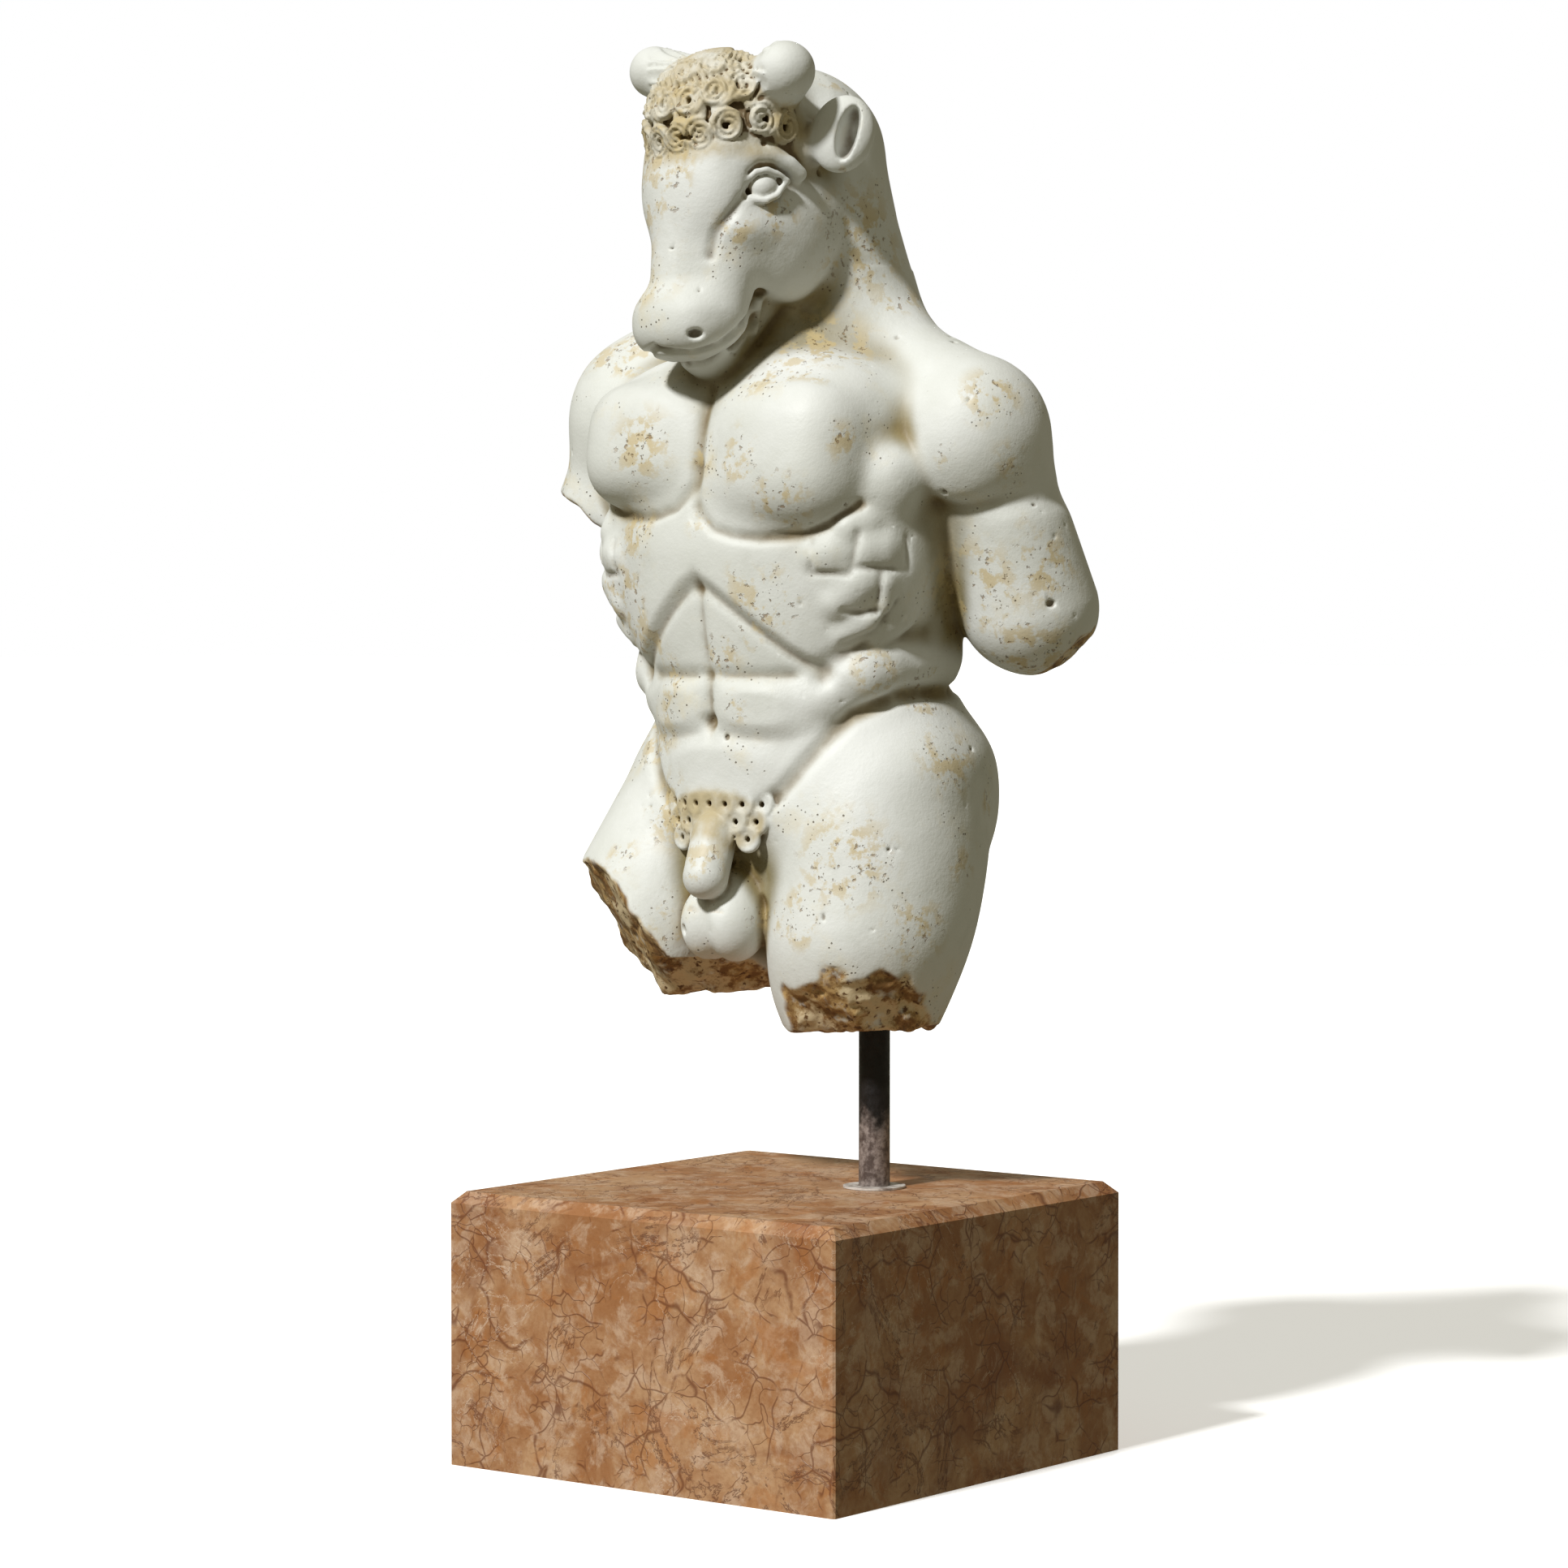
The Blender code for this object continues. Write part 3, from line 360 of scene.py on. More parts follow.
# The broken faces: two corners of the block that each is cut from, a point of the face, the way it faces,
# and its roughness
LEFT_THIGH_END = ((4, -190, -12), (250, 170, 60))
RIGHT_THIGH_END = ((-236, -190, -12), (4, 170, 200))
BREAKS = (
    (LEFT_THIGH_END, (75, 0, 0), (0.0, 0.0, -1.0), 4.0),
    (LEFT_THIGH_END, (97, -79, 33), (0.22, -0.75, -0.63), 6.0),
    (LEFT_THIGH_END, (129, -68, 40), (0.60, -0.49, -0.63), 5.0),
    (RIGHT_THIGH_END, (-117, -64, 67), (-0.50, -0.68, -0.54), 4.0),
    (((-236, -190, -12), (4, 170, 51)), (-34, -54, 50), (0.45, -0.55, -0.70), 4.0),
    (RIGHT_THIGH_END, (-62, -16, 20), (0.1, 0.0, -1.0), 3.0),
    (((120, 0, 245), (250, 170, 345)), (196, 78, 276), (0.58, 0.27, -0.77), 4.0),
    (((-236, -120, 341), (-146, 120, 425)), (-188, -34, 386), (-0.50, -0.36, -0.79), 3.0),
)


# The deep crease between the left arm and the ribs
UNDER_ARM = (
    (143, -27, 374), (144, -19, 358), (142, -11, 343), (139, 3, 325),
    (133, 18, 307), (130, 30, 292), (128, 39, 280),
)

# The soft crease where the left upper arm comes out of the shoulder
UNDER_SHOULDER = ((150, -12, 390), (166, -6, 391), (195, 6, 392), (210, 36, 395), (203, 66, 399))


def shoulders_and_arms(clay):
    # Left
    egg(clay, BODY, (157, 20, 438), (53, 58, 62), 24)
    limb(clay, BODY, (164, 32, 416), (174, 64, 313), 42, 50, 9)
    limb(clay, BODY, (150, 34, 392), (160, 62, 318), 36, 42, 12)
    groove(clay, BODY, UNDER_SHOULDER, 10, 4)
    trench(clay, BODY, UNDER_ARM, 6, 3)
    # Right
    egg(clay, BODY, (-158, -6, 456), (53, 56, 66), 24)
    limb(clay, BODY, (-160, -6, 440), (-178, -14, 391), 44, 43, 12)
    # Shoulder girdle and trapezius
    limb(clay, BODY, (-124, 20, 468), (116, 28, 456), 42, 40, 36)
    limb(clay, BODY, (0, 40, 552), (98, 28, 486), 42, 32, 38)
    limb(clay, BODY, (0, 40, 556), (-126, 14, 504), 44, 32, 40)


# The plates of the chest, right and left: side, middle height, half height, and rise of the lower edge
CHEST_PLATES = ((-1, 432, 52, 16), (1, 423, 60, 0))

# The crease under the left plate
CHEST_EDGE = (
    (-4, -113, 389), (4, -113, 379), (14, -113, 371), (31, -109, 366), (50, -104, 364),
    (69, -98, 365), (88, -93, 367), (105, -88, 374), (116, -81, 382), (121, -72, 388),
)


def chest(clay):
    for side in (-1, 1):
        # The side of the rib cage, below the armpit
        egg(clay, BODY, (side * 98 - 6, -26, 356), (46, 60, 66), 20)
    lean = turn_about(0, -8)
    # The broad mass below the collar bones, which the plates below run into
    plate(clay, BODY.inner((-6, -24, 456), turn_about(0, -12)), (128, 70, 48), 2.6, 26)
    for side, middle, half, rise in CHEST_PLATES:
        plate(clay, BODY.inner((side * 63 - 6, -52, middle), lean), (66, 66, half), 3.0, 14)
        # The fold of muscle in front of the armpit
        egg(clay, BODY, (side * 128 - 3, -40, 407 + rise / 2), (21, 24, 27), 16)
        edge = [(x, y, z + rise) for x, y, z in CHEST_EDGE]
        groove(clay, BODY, on_body(clay, side, edge), 3.8, 4.5)
    # Breastbone
    groove(clay, BODY, on_body(clay, 1, ((-5, -99, 474), (-6, -99, 440), (-6, -99, 412))), 5, 3)
    groove(clay, BODY, on_body(clay, 1, ((-6, -99, 418), (-6, -99, 396), (-5, -99, 380))), 5, 3)


def plate(clay, own, radii, square, blend):
    """A flattish muscle: an ellipsoid with squared-off corners, in a frame of its own."""
    cut, x, y, z = clay.around(own, (0, 0, 0), max(radii) * 1.3 + blend)
    rx, ry, rz = radii
    reach = np.maximum(boxy(square, x / rx, y / ry, z / rz), 1e-3)
    clay.join(cut, (1.0 - 1.0 / reach) * np.sqrt(x**2 + y**2 + z**2), blend)


def pad(u, v, half_u, half_v, square, edge):
    """1 inside a rounded box, 0 outside it, with an edge of the given width."""
    inside = 1.0 - boxy(square, u / half_u, v / half_v)
    return ramp(inside * min(half_u, half_v), 0.0, edge)


def path_distance(x, y, z, points):
    """Distance to a line of straight stretches."""
    stretches = [rod_distance(x, y, z, a, b, 0.0, 0.0) for a, b in zip(points, points[1:])]
    return np.minimum.reduce(stretches)


def along(clay, frame, points, reach):
    """The window within a reach of a line of points, and the distances from the line there."""
    corners = np.array([frame.place(point) for point in points])
    cut, x, y, z = clay.window(corners.min(axis=0) - reach, corners.max(axis=0) + reach)
    return cut, path_distance(x, y, z, corners)


def groove(clay, frame, points, width, depth):
    """A soft furrow along a line of points."""
    cut, away = along(clay, frame, points, 3 * width)
    clay.raise_by(cut, -depth * np.exp(-((away / width) ** 2)))


def roll(clay, frame, points, radius, blend):
    """A round bead along a line of points."""
    cut, away = along(clay, frame, points, radius + blend)
    clay.join(cut, away - radius, blend)


def trench(clay, frame, points, radius, blend):
    """A round channel taken away along a line of points."""
    cut, away = along(clay, frame, points, radius + blend)
    clay.carve(cut, away - radius, blend)


def swell(clay, frame, centre, radii, height):
    """A soft rise over an ellipsoid's reach; a negative height makes a dent."""
    cut, x, y, z = clay.around(frame, centre, 2.2 * max(radii))
    rx, ry, rz = radii
    away = (x / rx) ** 2 + (y / ry) ** 2 + (z / rz) ** 2
    clay.raise_by(cut, height * np.exp(-away))


def noise(x, y, z, size, seed):
    """Smooth random values from -1 to 1, with lumps of the given size."""
    cells = 16
    lattice = np.random.default_rng(seed).uniform(-1, 1, (cells, cells, cells)).astype(np.float32)
    total = 0.0
    places = [np.asarray(v) / size for v in (x, y, z)]
    whole = [np.floor(v).astype(int) for v in places]
    share = [v - w for v, w in zip(places, whole)]
    share = [t * t * (3 - 2 * t) for t in share]
    for corner in np.ndindex(2, 2, 2):
        weight = 1.0
        for t, c in zip(share, corner):
            weight = weight * (t if c else 1 - t)
        at = tuple((w + c) % cells for w, c in zip(whole, corner))
        total = total + weight * lattice[at]
    return total


def break_off(clay, block, point, facing, roughness):
    """Takes off everything of a block that lies beyond a rough broken face."""
    normal = np.array(facing, float)
    normal /= norm(normal)
    cut, x, y, z = clay.window(*block)
    beyond = sum(n * (v - p) for n, v, p in zip(normal, (x, y, z), point))
    rough = noise(x, y, z, 26, 3) + 0.5 * noise(x, y, z, 11, 5) + 0.22 * noise(x, y, z, 5, 9)
    kept = roughness * rough - beyond
    fresh = ramp(-kept - clay.field[cut], -1.5, 0.5)
    clay.broken[cut] = np.maximum(clay.broken[cut], fresh)
    clay.carve(cut, kept, 3)


def front_relief(clay):
    """The belly and the lower edge of the ribs, drawn on the front of the trunk."""
    cut, x, y, z = clay.window((-135, -190, 150), (135, 10, 400))
    side = np.abs(x - midline(z))
    arch = 345 - np.sqrt((0.86 * side) ** 2 + 10.0**2)
    above_arch = z - arch
    height = 5.0 * ramp(above_arch, -8, 8) * ramp(-z, -398, -350)
    height = height - 2.0 * np.exp(-(((above_arch + 7) / 6) ** 2)) * ramp(z, 258, 275)
    # The two rows of the belly's muscle, and the part below the navel
    row_line = np.exp(-(((z - 264) / 5.0) ** 2)) * ramp(-side, -82, -62)
    height = height - 2.6 * row_line
    height = height + 5.0 * pad(side - 41, z - 241 + 0.05 * side, 44, 24, 3.0, 14)
    height = height + 4.0 * pad(x, z - 190, 72, 33, 2.4, 16)
    linea = np.exp(-((side / 4.5) ** 2)) * ramp(z, 205, 232) * ramp(-z, -350, -325)
    height = height - 3.2 * linea
    furrow = np.exp(-(((side - 87) / 7.0) ** 2)) * ramp(z, 215, 235) * ramp(-z, -285, -262)
    height = height - 4.0 * furrow
    clay.raise_by(cut, height * ramp(-y, 15, 40))


# The lumps of muscle over the ribs, laid out on the left side: a radius, and a line of points
RIB_MUSCLES = (
    (12.0, ((119, -77, 371), (127, -66, 376))),
    (15.0, ((128, -66, 356), (134, -56, 357))),
    (15.0, ((100, -89, 352), (108, -85, 354))),
    (13.0, ((107, -78, 318), (124, -68, 332))),
    (9.5, ((133, -54, 331), (131, -52, 318))),
    (10.5, ((107, -69, 294), (122, -57, 305))),
    (10.5, ((118, -44, 294), (127, -30, 306))),
)
RIB_MUSCLE_RISE = 2.4

# The fine creases between them
RIB_CREASES = (
    ((92, -93, 362), (90, -91, 339), (114, -78, 338)),
    ((121, -75, 368), (117, -77, 342)),
    ((121, -73, 343), (132, -58, 342), (137, -37, 342), (137, -38, 365)),
    ((132, -60, 337), (127, -58, 311)),
    ((106, -74, 311), (117, -65, 309), (127, -58, 311)),
    ((101, -68, 287), (116, -53, 295), (132, -43, 318)),
)

# The roll of muscle over the hip bone, and the creases above and below it
HIP_ROLL = ((86, -68, 247), (97, -60, 257), (107, -46, 264), (115, -26, 270), (118, 0, 272), (108, 30, 276))
OVER_HIP = (
    (85, -72, 262), (89, -67, 272), (102, -63, 283), (114, -50, 289), (125, -31, 293), (126, -3, 295),
)
UNDER_HIP = (
    (108, 68, 256), (116, 34, 249), (121, -3, 250), (119, -28, 248), (109, -43, 240), (99, -55, 233),
    (88, -63, 221), (81, -71, 211), (70, -81, 193), (58, -86, 178), (45, -93, 166),
)


def flanks(clay):
    for side in (-1, 1):
        roll(clay, BODY, on_body(clay, side, HIP_ROLL, 12), 22, 12)
        groove(clay, BODY, on_body(clay, side, OVER_HIP), 8, 4)
        groove(clay, BODY, on_body(clay, side, UNDER_HIP), 5.5, 7)
        for radius, points in RIB_MUSCLES:
            roll(clay, BODY, on_body(clay, side, points, radius - RIB_MUSCLE_RISE), radius, 6)
        for points in RIB_CREASES:
            groove(clay, BODY, on_body(clay, side, points), 3, 2)
    # Navel
    swell(clay, BODY, (-1, -104, 229), (6, 14, 5), -8)


def genitals(clay):
    swell(clay, BODY, (0, -92, 160), (50, 24, 18), 5)
    egg(clay, BODY, (0, -80, 88), (28, 24, 34), 8)
    for side in (-1, 1):
        egg(clay, BODY, (side * 13, -86, 78), (20, 25, 28), 6)
    limb(clay, BODY, (2, -98, 146), (5, -112, 114), 17, 17, 6)
    tip = ((-16, -150, 88), (28, -108, 114))
    break_off(clay, tip, (6, -118, 97), (0.1, -0.25, -1.0), 1.5)


# Rows of ringlets over the genitals: height, half width, and how many
LOW_CURL_ROWS = ((168, 42, 7), (155, 38, 6), (142, 32, 4))


def low_hair(clay):
    for height, half, count in LOW_CURL_ROWS:
        for out in np.linspace(-half, half, count):
            middle = (out, -101 + 0.006 * out * out, height)
            face_out = turn_about(2, 0.35 * out) @ turn_about(0, 90)
            curl(clay, BODY.inner(middle, face_out), 0.8)


def back(clay):
    """The hidden side, carved more plainly."""
    spine = ((0, 78, 190), (-2, 76, 250), (-5, 90, 330), (-6, 104, 400), (-6, 100, 470))
    groove(clay, BODY, spine, 12, 8)
    groove(clay, BODY, ((2, 118, 100), (2, 122, 150), (0, 100, 196)), 9, 16)
    for side in (-1, 1):
        swell(clay, BODY, (side * 66 - 6, 96, 430), (34, 24, 44), 8)
        swell(clay, BODY, (side * 96 - 6, 66, 350), (30, 40, 50), 6)


def neck(clay):
    limb(clay, BODY, (0, 30, 470), (-6, 14, 600), 74, 60, 40)
    limb(clay, BODY, (-6, 14, 600), (-4, 10, 655), 60, 62, 30)


# Sizes of the hair: its cap, the two strands of each lock, and the ringlet at its end
CAP_MIDDLE = (0, -2, 32)
CAP_RADII = (57, 58, 53)
CAP_EDGE = -18
STRAND_RADIUS = 3.4
STRAND_SPACING = 6.4
CURL_RINGS = ((4.8, 2.7), (9.6, 3.4))
CURL_LIFT = 3.2
CURL_HOLE = 2.5


def cap_frame(azimuth, rise):
    """A frame on the hair cap, its z axis pointing out: azimuth from the face, rise from the level."""
    turn, lift = math.radians(azimuth), math.radians(rise)
    way = np.array((math.sin(turn) * math.cos(lift), -math.cos(turn) * math.cos(lift), math.sin(lift)))
    out = way / np.array(CAP_RADII)
    out /= norm(out)
    side = np.cross((0, 0, 1), out)
    side /= norm(side)
    middle = np.array(CAP_MIDDLE) + way * np.array(CAP_RADII)
    return HEAD.inner(middle, np.column_stack((side, np.cross(out, side), out)))


def curl(clay, frame, scale):
    """One ringlet: two rings of hair, one in the other, with a drilled middle."""
    cut, x, y, z = clay.around(frame, (0, 0, 0), 18 * scale)
    away = np.sqrt(x**2 + y**2)
    for ring, thick in CURL_RINGS:
        clay.join(cut, np.sqrt((away - ring * scale) ** 2 + z**2) - thick * scale, 1.0)
    drilled = np.maximum(away - CURL_HOLE * scale, np.abs(z) - 6.0)
    clay.carve(cut, drilled, 1.0)


# The locks: azimuth at the brow, rise of the ringlet at the end, and rise of the crown end
LOCKS = (
    (-88, -5, 40), (-67, -3, 56), (-46, -7, 64), (-27, -12, 70), (-8, -15, 72), (11, -13, 72),
    (30, -11, 70), (50, -5, 66), (72, 0, 54), (94, -5, 34),
    (-60, 22, 62), (-38, 18, 70), (-18, 13, 74), (1, 12, 78), (20, 14, 78), (40, 20, 76), (61, 25, 64),
    (-48, 44, 78), (-17, 38, 84), (10, 38, 86), (36, 45, 86), (58, 50, 80),
)


def lock(clay, azimuth, low, high, number):
    """One wavy lock of two strands that runs down from the crown and ends in a ringlet."""
    share = np.linspace(0, 1, 9)
    rises = high + (low - high) * share
    sway = 4.5 * np.sin(5.2 * share + 1.9 * number)
    turns = azimuth * (0.62 + 0.38 * share) + sway * share
    frames = [cap_frame(turn, rise) for turn, rise in zip(turns, rises)]
    for offset in (-STRAND_SPACING / 2, STRAND_SPACING / 2):
        strand = [frame.place((offset, 0, STRAND_RADIUS / 2)) for frame in frames]
        roll(clay, BODY, strand, STRAND_RADIUS, 1.0)
    curl(clay, frames[-1].inner((0, 0, CURL_LIFT), np.eye(3)), 1.0)


def hair(clay):
    cut, x, y, z = clay.around(HEAD, CAP_MIDDLE, max(CAP_RADII) + 14)
    cap = egg_distance(x, y, z, CAP_RADII)
    clay.join(cut, np.maximum(cap, CAP_EDGE - z), 3)
    for number, (azimuth, low, high) in reversed(list(enumerate(LOCKS))):
        lock(clay, azimuth, low, high, number)


def ears_and_horns(clay):
    for side in (-1, 1):
        ear = facing(HEAD, (side * 79, 41, 23), (side * 0.60, -0.79, 0.08), (side * 0.30, 0, 1))
        limb(clay, HEAD, (side * 50, 30, 16), (side * 70, 46, 20), 16, 12, 10)
        egg(clay, ear, (0, 0, 0), (24, 29, 13), 5)
        hollow(clay, ear, (side * 6, 1, 13), (8, 22, 20), 1.5)
    limb(clay, HEAD, (42, 2, 56), (69, -6, 67), 24, 22, 5)
    limb(clay, HEAD, (-42, 0, 64), (-73, -14, 77), 23, 19.5, 5)


# The furrow from the inner corner of the eye down the cheek
TEAR_LINE = ((46, -32, -27), (40, -39, -40), (35, -45, -52), (33, -48, -68))


def eye(clay, side):
    """One eye, in a frame of its own: across to the nose, up, and out of the socket."""
    (place,) = on_face(clay, [(side * 55, -15, -17)])
    out, up = HEAD.axes @ (side * 0.86, -0.5, 0.05), (0, 0, 1)
    own = facing(BODY, place, out, up).inner((0, 0, 0), turn_about(2, side * 13))

    def line(*points):
        return mirrored(-side, points)

    hollow(clay, own, (0, 0, 2), (18, 12, 8), 2)
    egg(clay, own, (0, 0, -5.5), (12.5, 11, 12), 0.8)
    upper = line(
        (17, -1, 0), (12, 6.5, 3.0), (4, 10.8, 5.0), (-4, 10.8, 5.0), (-12, 6.5, 2.5), (-18, 0, -1)
    )
    lower = line((17, -1, 0), (10, -8, 2.5), (1, -11, 4.0), (-8, -9, 2.5), (-18, 0, -1))
    roll(clay, own, upper, 2.6, 1.5)
    roll(clay, own, lower, 2.3, 1.5)
    lid_crease = line((20, 1, 1), (13, 11, 4), (3, 15.5, 5), (-7, 15, 4), (-19, 7, 0), (-26, 0, -3))
    groove(clay, own, lid_crease, 2.3, 3.2)
    brow = line((23, 6, -2), (14, 18, 1), (1, 22.5, 2), (-12, 20, 0), (-24, 12, -3), (-30, 4, -7))
    roll(clay, own, brow, 5.5, 9)
    for across, height in ((12.5, -1.5), (-12.5, 1.5)):
        hollow(clay, own, (-side * across, height, 0), (2.4, 2.6, 6), 0.8)
    groove(clay, BODY, on_face(clay, mirrored(side, TEAR_LINE)), 4, 3)
    swell(clay, HEAD, (side * 52, -22, -48), (14, 22, 12), 5)


def mouth(clay, side):
    """One side of the mouth, and the nostril over it."""

    def line(*points):
        return on_face(clay, mirrored(side, points))

    def spot(point, radii):
        """A hollow sunk into the face at a point of its skin."""
        (place,) = line(point)
        hollow(clay, Frame(place, HEAD.axes), (0, 0, 0), radii, 2)

    upper = line(
        (0, -72, -135), (14, -66, -138), (24, -58, -139), (34, -41, -133), (37, -28, -121),
        (38, -15, -109), (38, -9, -99),
    )
    lower = line((0, -62, -146), (12, -61, -146), (22, -48, -146), (30, -33, -139), (33, -20, -128))
    groove(clay, BODY, upper, 2.6, 6)
    groove(clay, BODY, lower, 2.4, 4)
    # The lobe behind the corner of the mouth, its open corner, and the hollow over it
    roll(clay, BODY, line((38, -2, -99), (40, 3, -110), (38, 6, -121)), 4, 4)
    trench(clay, BODY, line((36, -3, -112), (34, -13, -123), (31, -24, -133)), 5, 2)
    spot((41, -5, -94), (5, 7, 4))
    # Nostril
    spot((34, -62, -126), (7, 6, 4))


# The crease behind the jaw
JAW_LINE = ((62, 72, -14), (64, 66, -52), (56, 54, -84), (40, 40, -106))


def head(clay):
    egg(clay, HEAD, (0, 2, 24), (59, 58, 54), 18)
    # The poll, where the neck's crest reaches the head
    limb(clay, HEAD, (0, 8, 48), (0, 60, 34), 28, 42, 20)
    plate(clay, HEAD.inner((0, -22, -8), turn_about(0, -3)), (53, 38, 50), 2.8, 12)
    limb(clay, HEAD, (0, -26, -20), (0, -40, -96), 38, 30, 18)
    plate(clay, HEAD.inner((0, -42, -116), np.eye(3)), (42, 37, 29), 2.4, 12)
    for side in (-1, 1):
        egg(clay, HEAD, (side * 36, 22, -46), (27, 50, 54), 14)
        # The flat side of the nose, from the cheek to the muzzle
        limb(clay, HEAD, (side * 24, -20, -58), (side * 24, -32, -104), 25, 21, 14)
    limb(clay, HEAD, (0, 6, -86), (0, -20, -131), 35, 26, 8)
    for side in (-1, 1):
        groove(clay, HEAD, mirrored(side, JAW_LINE), 7, 6)
        hollow(clay, HEAD, (side * 54, 46, 64), (18, 17, 20), 5)
    hair(clay)
    ears_and_horns(clay)
    for side in (-1, 1):
        eye(clay, side)
    for side in (-1, 1):
        mouth(clay, side)


def surface(clay):
    """The zero surface of the clay as quads."""
    grid = openvdb.FloatGrid(FAR_OUTSIDE)
    grid.copyFromArray(np.ascontiguousarray(clay.field))
    points, quads = outer_shell(*grid.convertToQuads(0.0))
    return points * clay.step + clay.low, quads


def outer_shell(points, quads):
    """The largest connected surface, without any small hollow shut inside it."""
    label = np.arange(len(points))
    while True:
        joined = label.copy()
        np.minimum.at(joined, quads, label[quads].min(axis=1)[:, None])
        joined = joined[joined]
        if np.array_equal(joined, label):
            break
        label = joined
    largest = np.bincount(label).argmax()
    kept = label == largest
    renumbered = np.cumsum(kept) - 1
    return points[kept], renumbered[quads[kept[quads[:, 0]]]]


# Pits: how many places are tried and how many kept, and the range of their sizes, in parts, and stretches
PIT_PLACES = 1600
PITS = 260
PIT_SIZES = (0.8, 1.5)
PIT_STRETCHES = (0.6, 1.7)

# Fine strands of the hair, in parts: their width and depth, how many run round the cap, and their waves
STRAND_WIDTH = 4.4
STRAND_DEPTH = 0.9
STRANDS_ROUND_CAP = 52
STRAND_SWAY = 0.09
STRAND_WAVE = 5.0

# The hair over the genitals lies within this ellipsoid, in parts
LOW_HAIR_MIDDLE = (0, -98, 155)
LOW_HAIR_RADII = (48, 22, 24)

# Where the skin of the stone is worn, in parts: a point and how far round it
WORN_PLACES = (
    (-55, -117, 434, 26), (78, -113, 389, 24), (119, -88, 434, 14), (63, -40, 506, 34), (194, -10, 469, 22),
    (60, -102, 318, 22), (-74, -105, 371, 22), (-84, -99, 322, 22), (13, -107, 278, 16), (27, -105, 240, 12),
    (117, -49, 267, 18), (166, 10, 328, 34), (192, 34, 277, 34), (112, -80, 129, 34), (151, -3, 202, 26),
    (36, -115, 588, 16), (53, -84, 601, 16), (62, -1, 587, 40), (-44, -93, 161, 26), (152, -45, 76, 24),
    (213, 32, 343, 26), (1, -107, 427, 14), (-104, -74, 50, 60),
)

# Sheltered places: dirt and painted shade in the creases and hollows, painted shade in the deep places; a
# name, how far round each point is looked at, and the shares of stone there that count as open and as deep
SHELTERS = (("crease", 2.6, 0.525, 0.66), ("hollow", 9.0, 0.51, 0.72), ("depth", 30.0, 0.50, 0.66))


def corroded(clay):
    """Small pits where the weather has eaten into the stone, in loose clusters; one in ten is larger."""
    random = np.random.default_rng(11)
    thin = 3
    near = np.argwhere(np.abs(clay.field[::thin, ::thin, ::thin]) < 0.5 * clay.step)
    points = near[random.permutation(len(near))[:PIT_PLACES]] * thin * clay.step + clay.low
    crowd = noise(*points.T, 55, 21)
    chosen = points[random.uniform(-0.5, 0.9, len(points)) < crowd][:PITS]
    for point in chosen:
        size = random.uniform(*PIT_SIZES) * (1.0 + 0.8 * (random.random() > 0.9))
        radii = size * random.uniform(*PIT_STRETCHES, 3)
        hollow(clay, Frame(point, turn_about(2, random.uniform(0, 180))), (0, 0, 0), radii, 0.8)


def worn_patches(points):
    """How worn the stone's skin is at each point, from 0 to 1."""
    worn_and_lit = np.zeros(len(points))
    for x, y, z, size in WORN_PLACES:
        away = np.sqrt(((points - (x, y, z)) ** 2).sum(axis=1)) / size
        worn_and_lit = np.maximum(worn_and_lit, ramp(-away, -1.5, -0.4))
    return np.maximum(worn_and_lit, 0.8 * ramp(noise(*points.T, 42, 8), 0.35, 0.6))


def strands(clay):
    """The fine strands: a spiral cut into each ringlet over the brow, and waves cut into the cap."""
    for azimuth, low, _ in LOCKS:
        cut, x, y, z = clay.around(cap_frame(azimuth, low), (0, 0, 0), 17)
        away = np.sqrt(x**2 + y**2)
        spiral = np.cos(2 * np.pi * away / STRAND_WIDTH + np.arctan2(y, x))
        clay.raise_by(cut, STRAND_DEPTH * spiral * ramp(-away, -14, -12) * ramp(z, -4, 0))
    cut, x, y, z = clay.around(HEAD, CAP_MIDDLE, max(CAP_RADII) + 8)
    turn = np.arctan2(x, -y) + STRAND_SWAY * np.sin(z / STRAND_WAVE)
    crown = ramp(egg_distance(x, y, z, CAP_RADII), -2, 1) * ramp(-y, -20, -5)
    crown = crown * ramp(z, 12, 22) * ramp(np.sqrt(x**2 + y**2), 12, 24)
    clay.raise_by(cut, STRAND_DEPTH * np.cos(turn * STRANDS_ROUND_CAP) * crown)


def hairy(points):
    """1 at points where the stone is carved as hair, over the brow or the genitals, and 0 elsewhere."""
    own = (points - HEAD.origin) @ HEAD.axes
    cap = egg_distance(*(own - CAP_MIDDLE).T, CAP_RADII)
    brow = ramp(-np.abs(cap - 3), -12, -7) * ramp(own[:, 2], CAP_EDGE - 4, CAP_EDGE + 4)
    brow = brow * ramp(-own[:, 1], -34, -14)
    low = egg_distance(*(points - LOW_HAIR_MIDDLE).T, LOW_HAIR_RADII)
    return np.maximum(brow, ramp(-low, -3, 3))


def carved_figure(step):
    """The whole carving: its clay, and a mesh of points in parts and quads."""
    clay = Clay(*BLOCK, step)
    for carve in (
        trunk, pelvis_and_thighs, front_relief, shoulders_and_arms, chest, flanks, back, genitals, low_hair,
        neck, head, strands,
    ):
        carve(clay)
    for broken in BREAKS:
        break_off(clay, *broken)
    corroded(clay)
    post_hole(clay)
    return clay, surface(clay)


def post_hole(clay):
    """The round hole in the left thigh that the post goes into."""
    middle_x, middle_y, _ = HOLE_IN_FIGURE
    radius, depth = POST_DIAMETER / 2 / PART + HOLE_CLEARANCE, THIGH_HOLE_DEPTH / PART
    cut, x, y, z = clay.around(BODY, (middle_x, middle_y, 0), depth + radius)
    clay.carve(cut, np.maximum(np.sqrt(x * x + y * y) - radius, z - depth), 0.6)


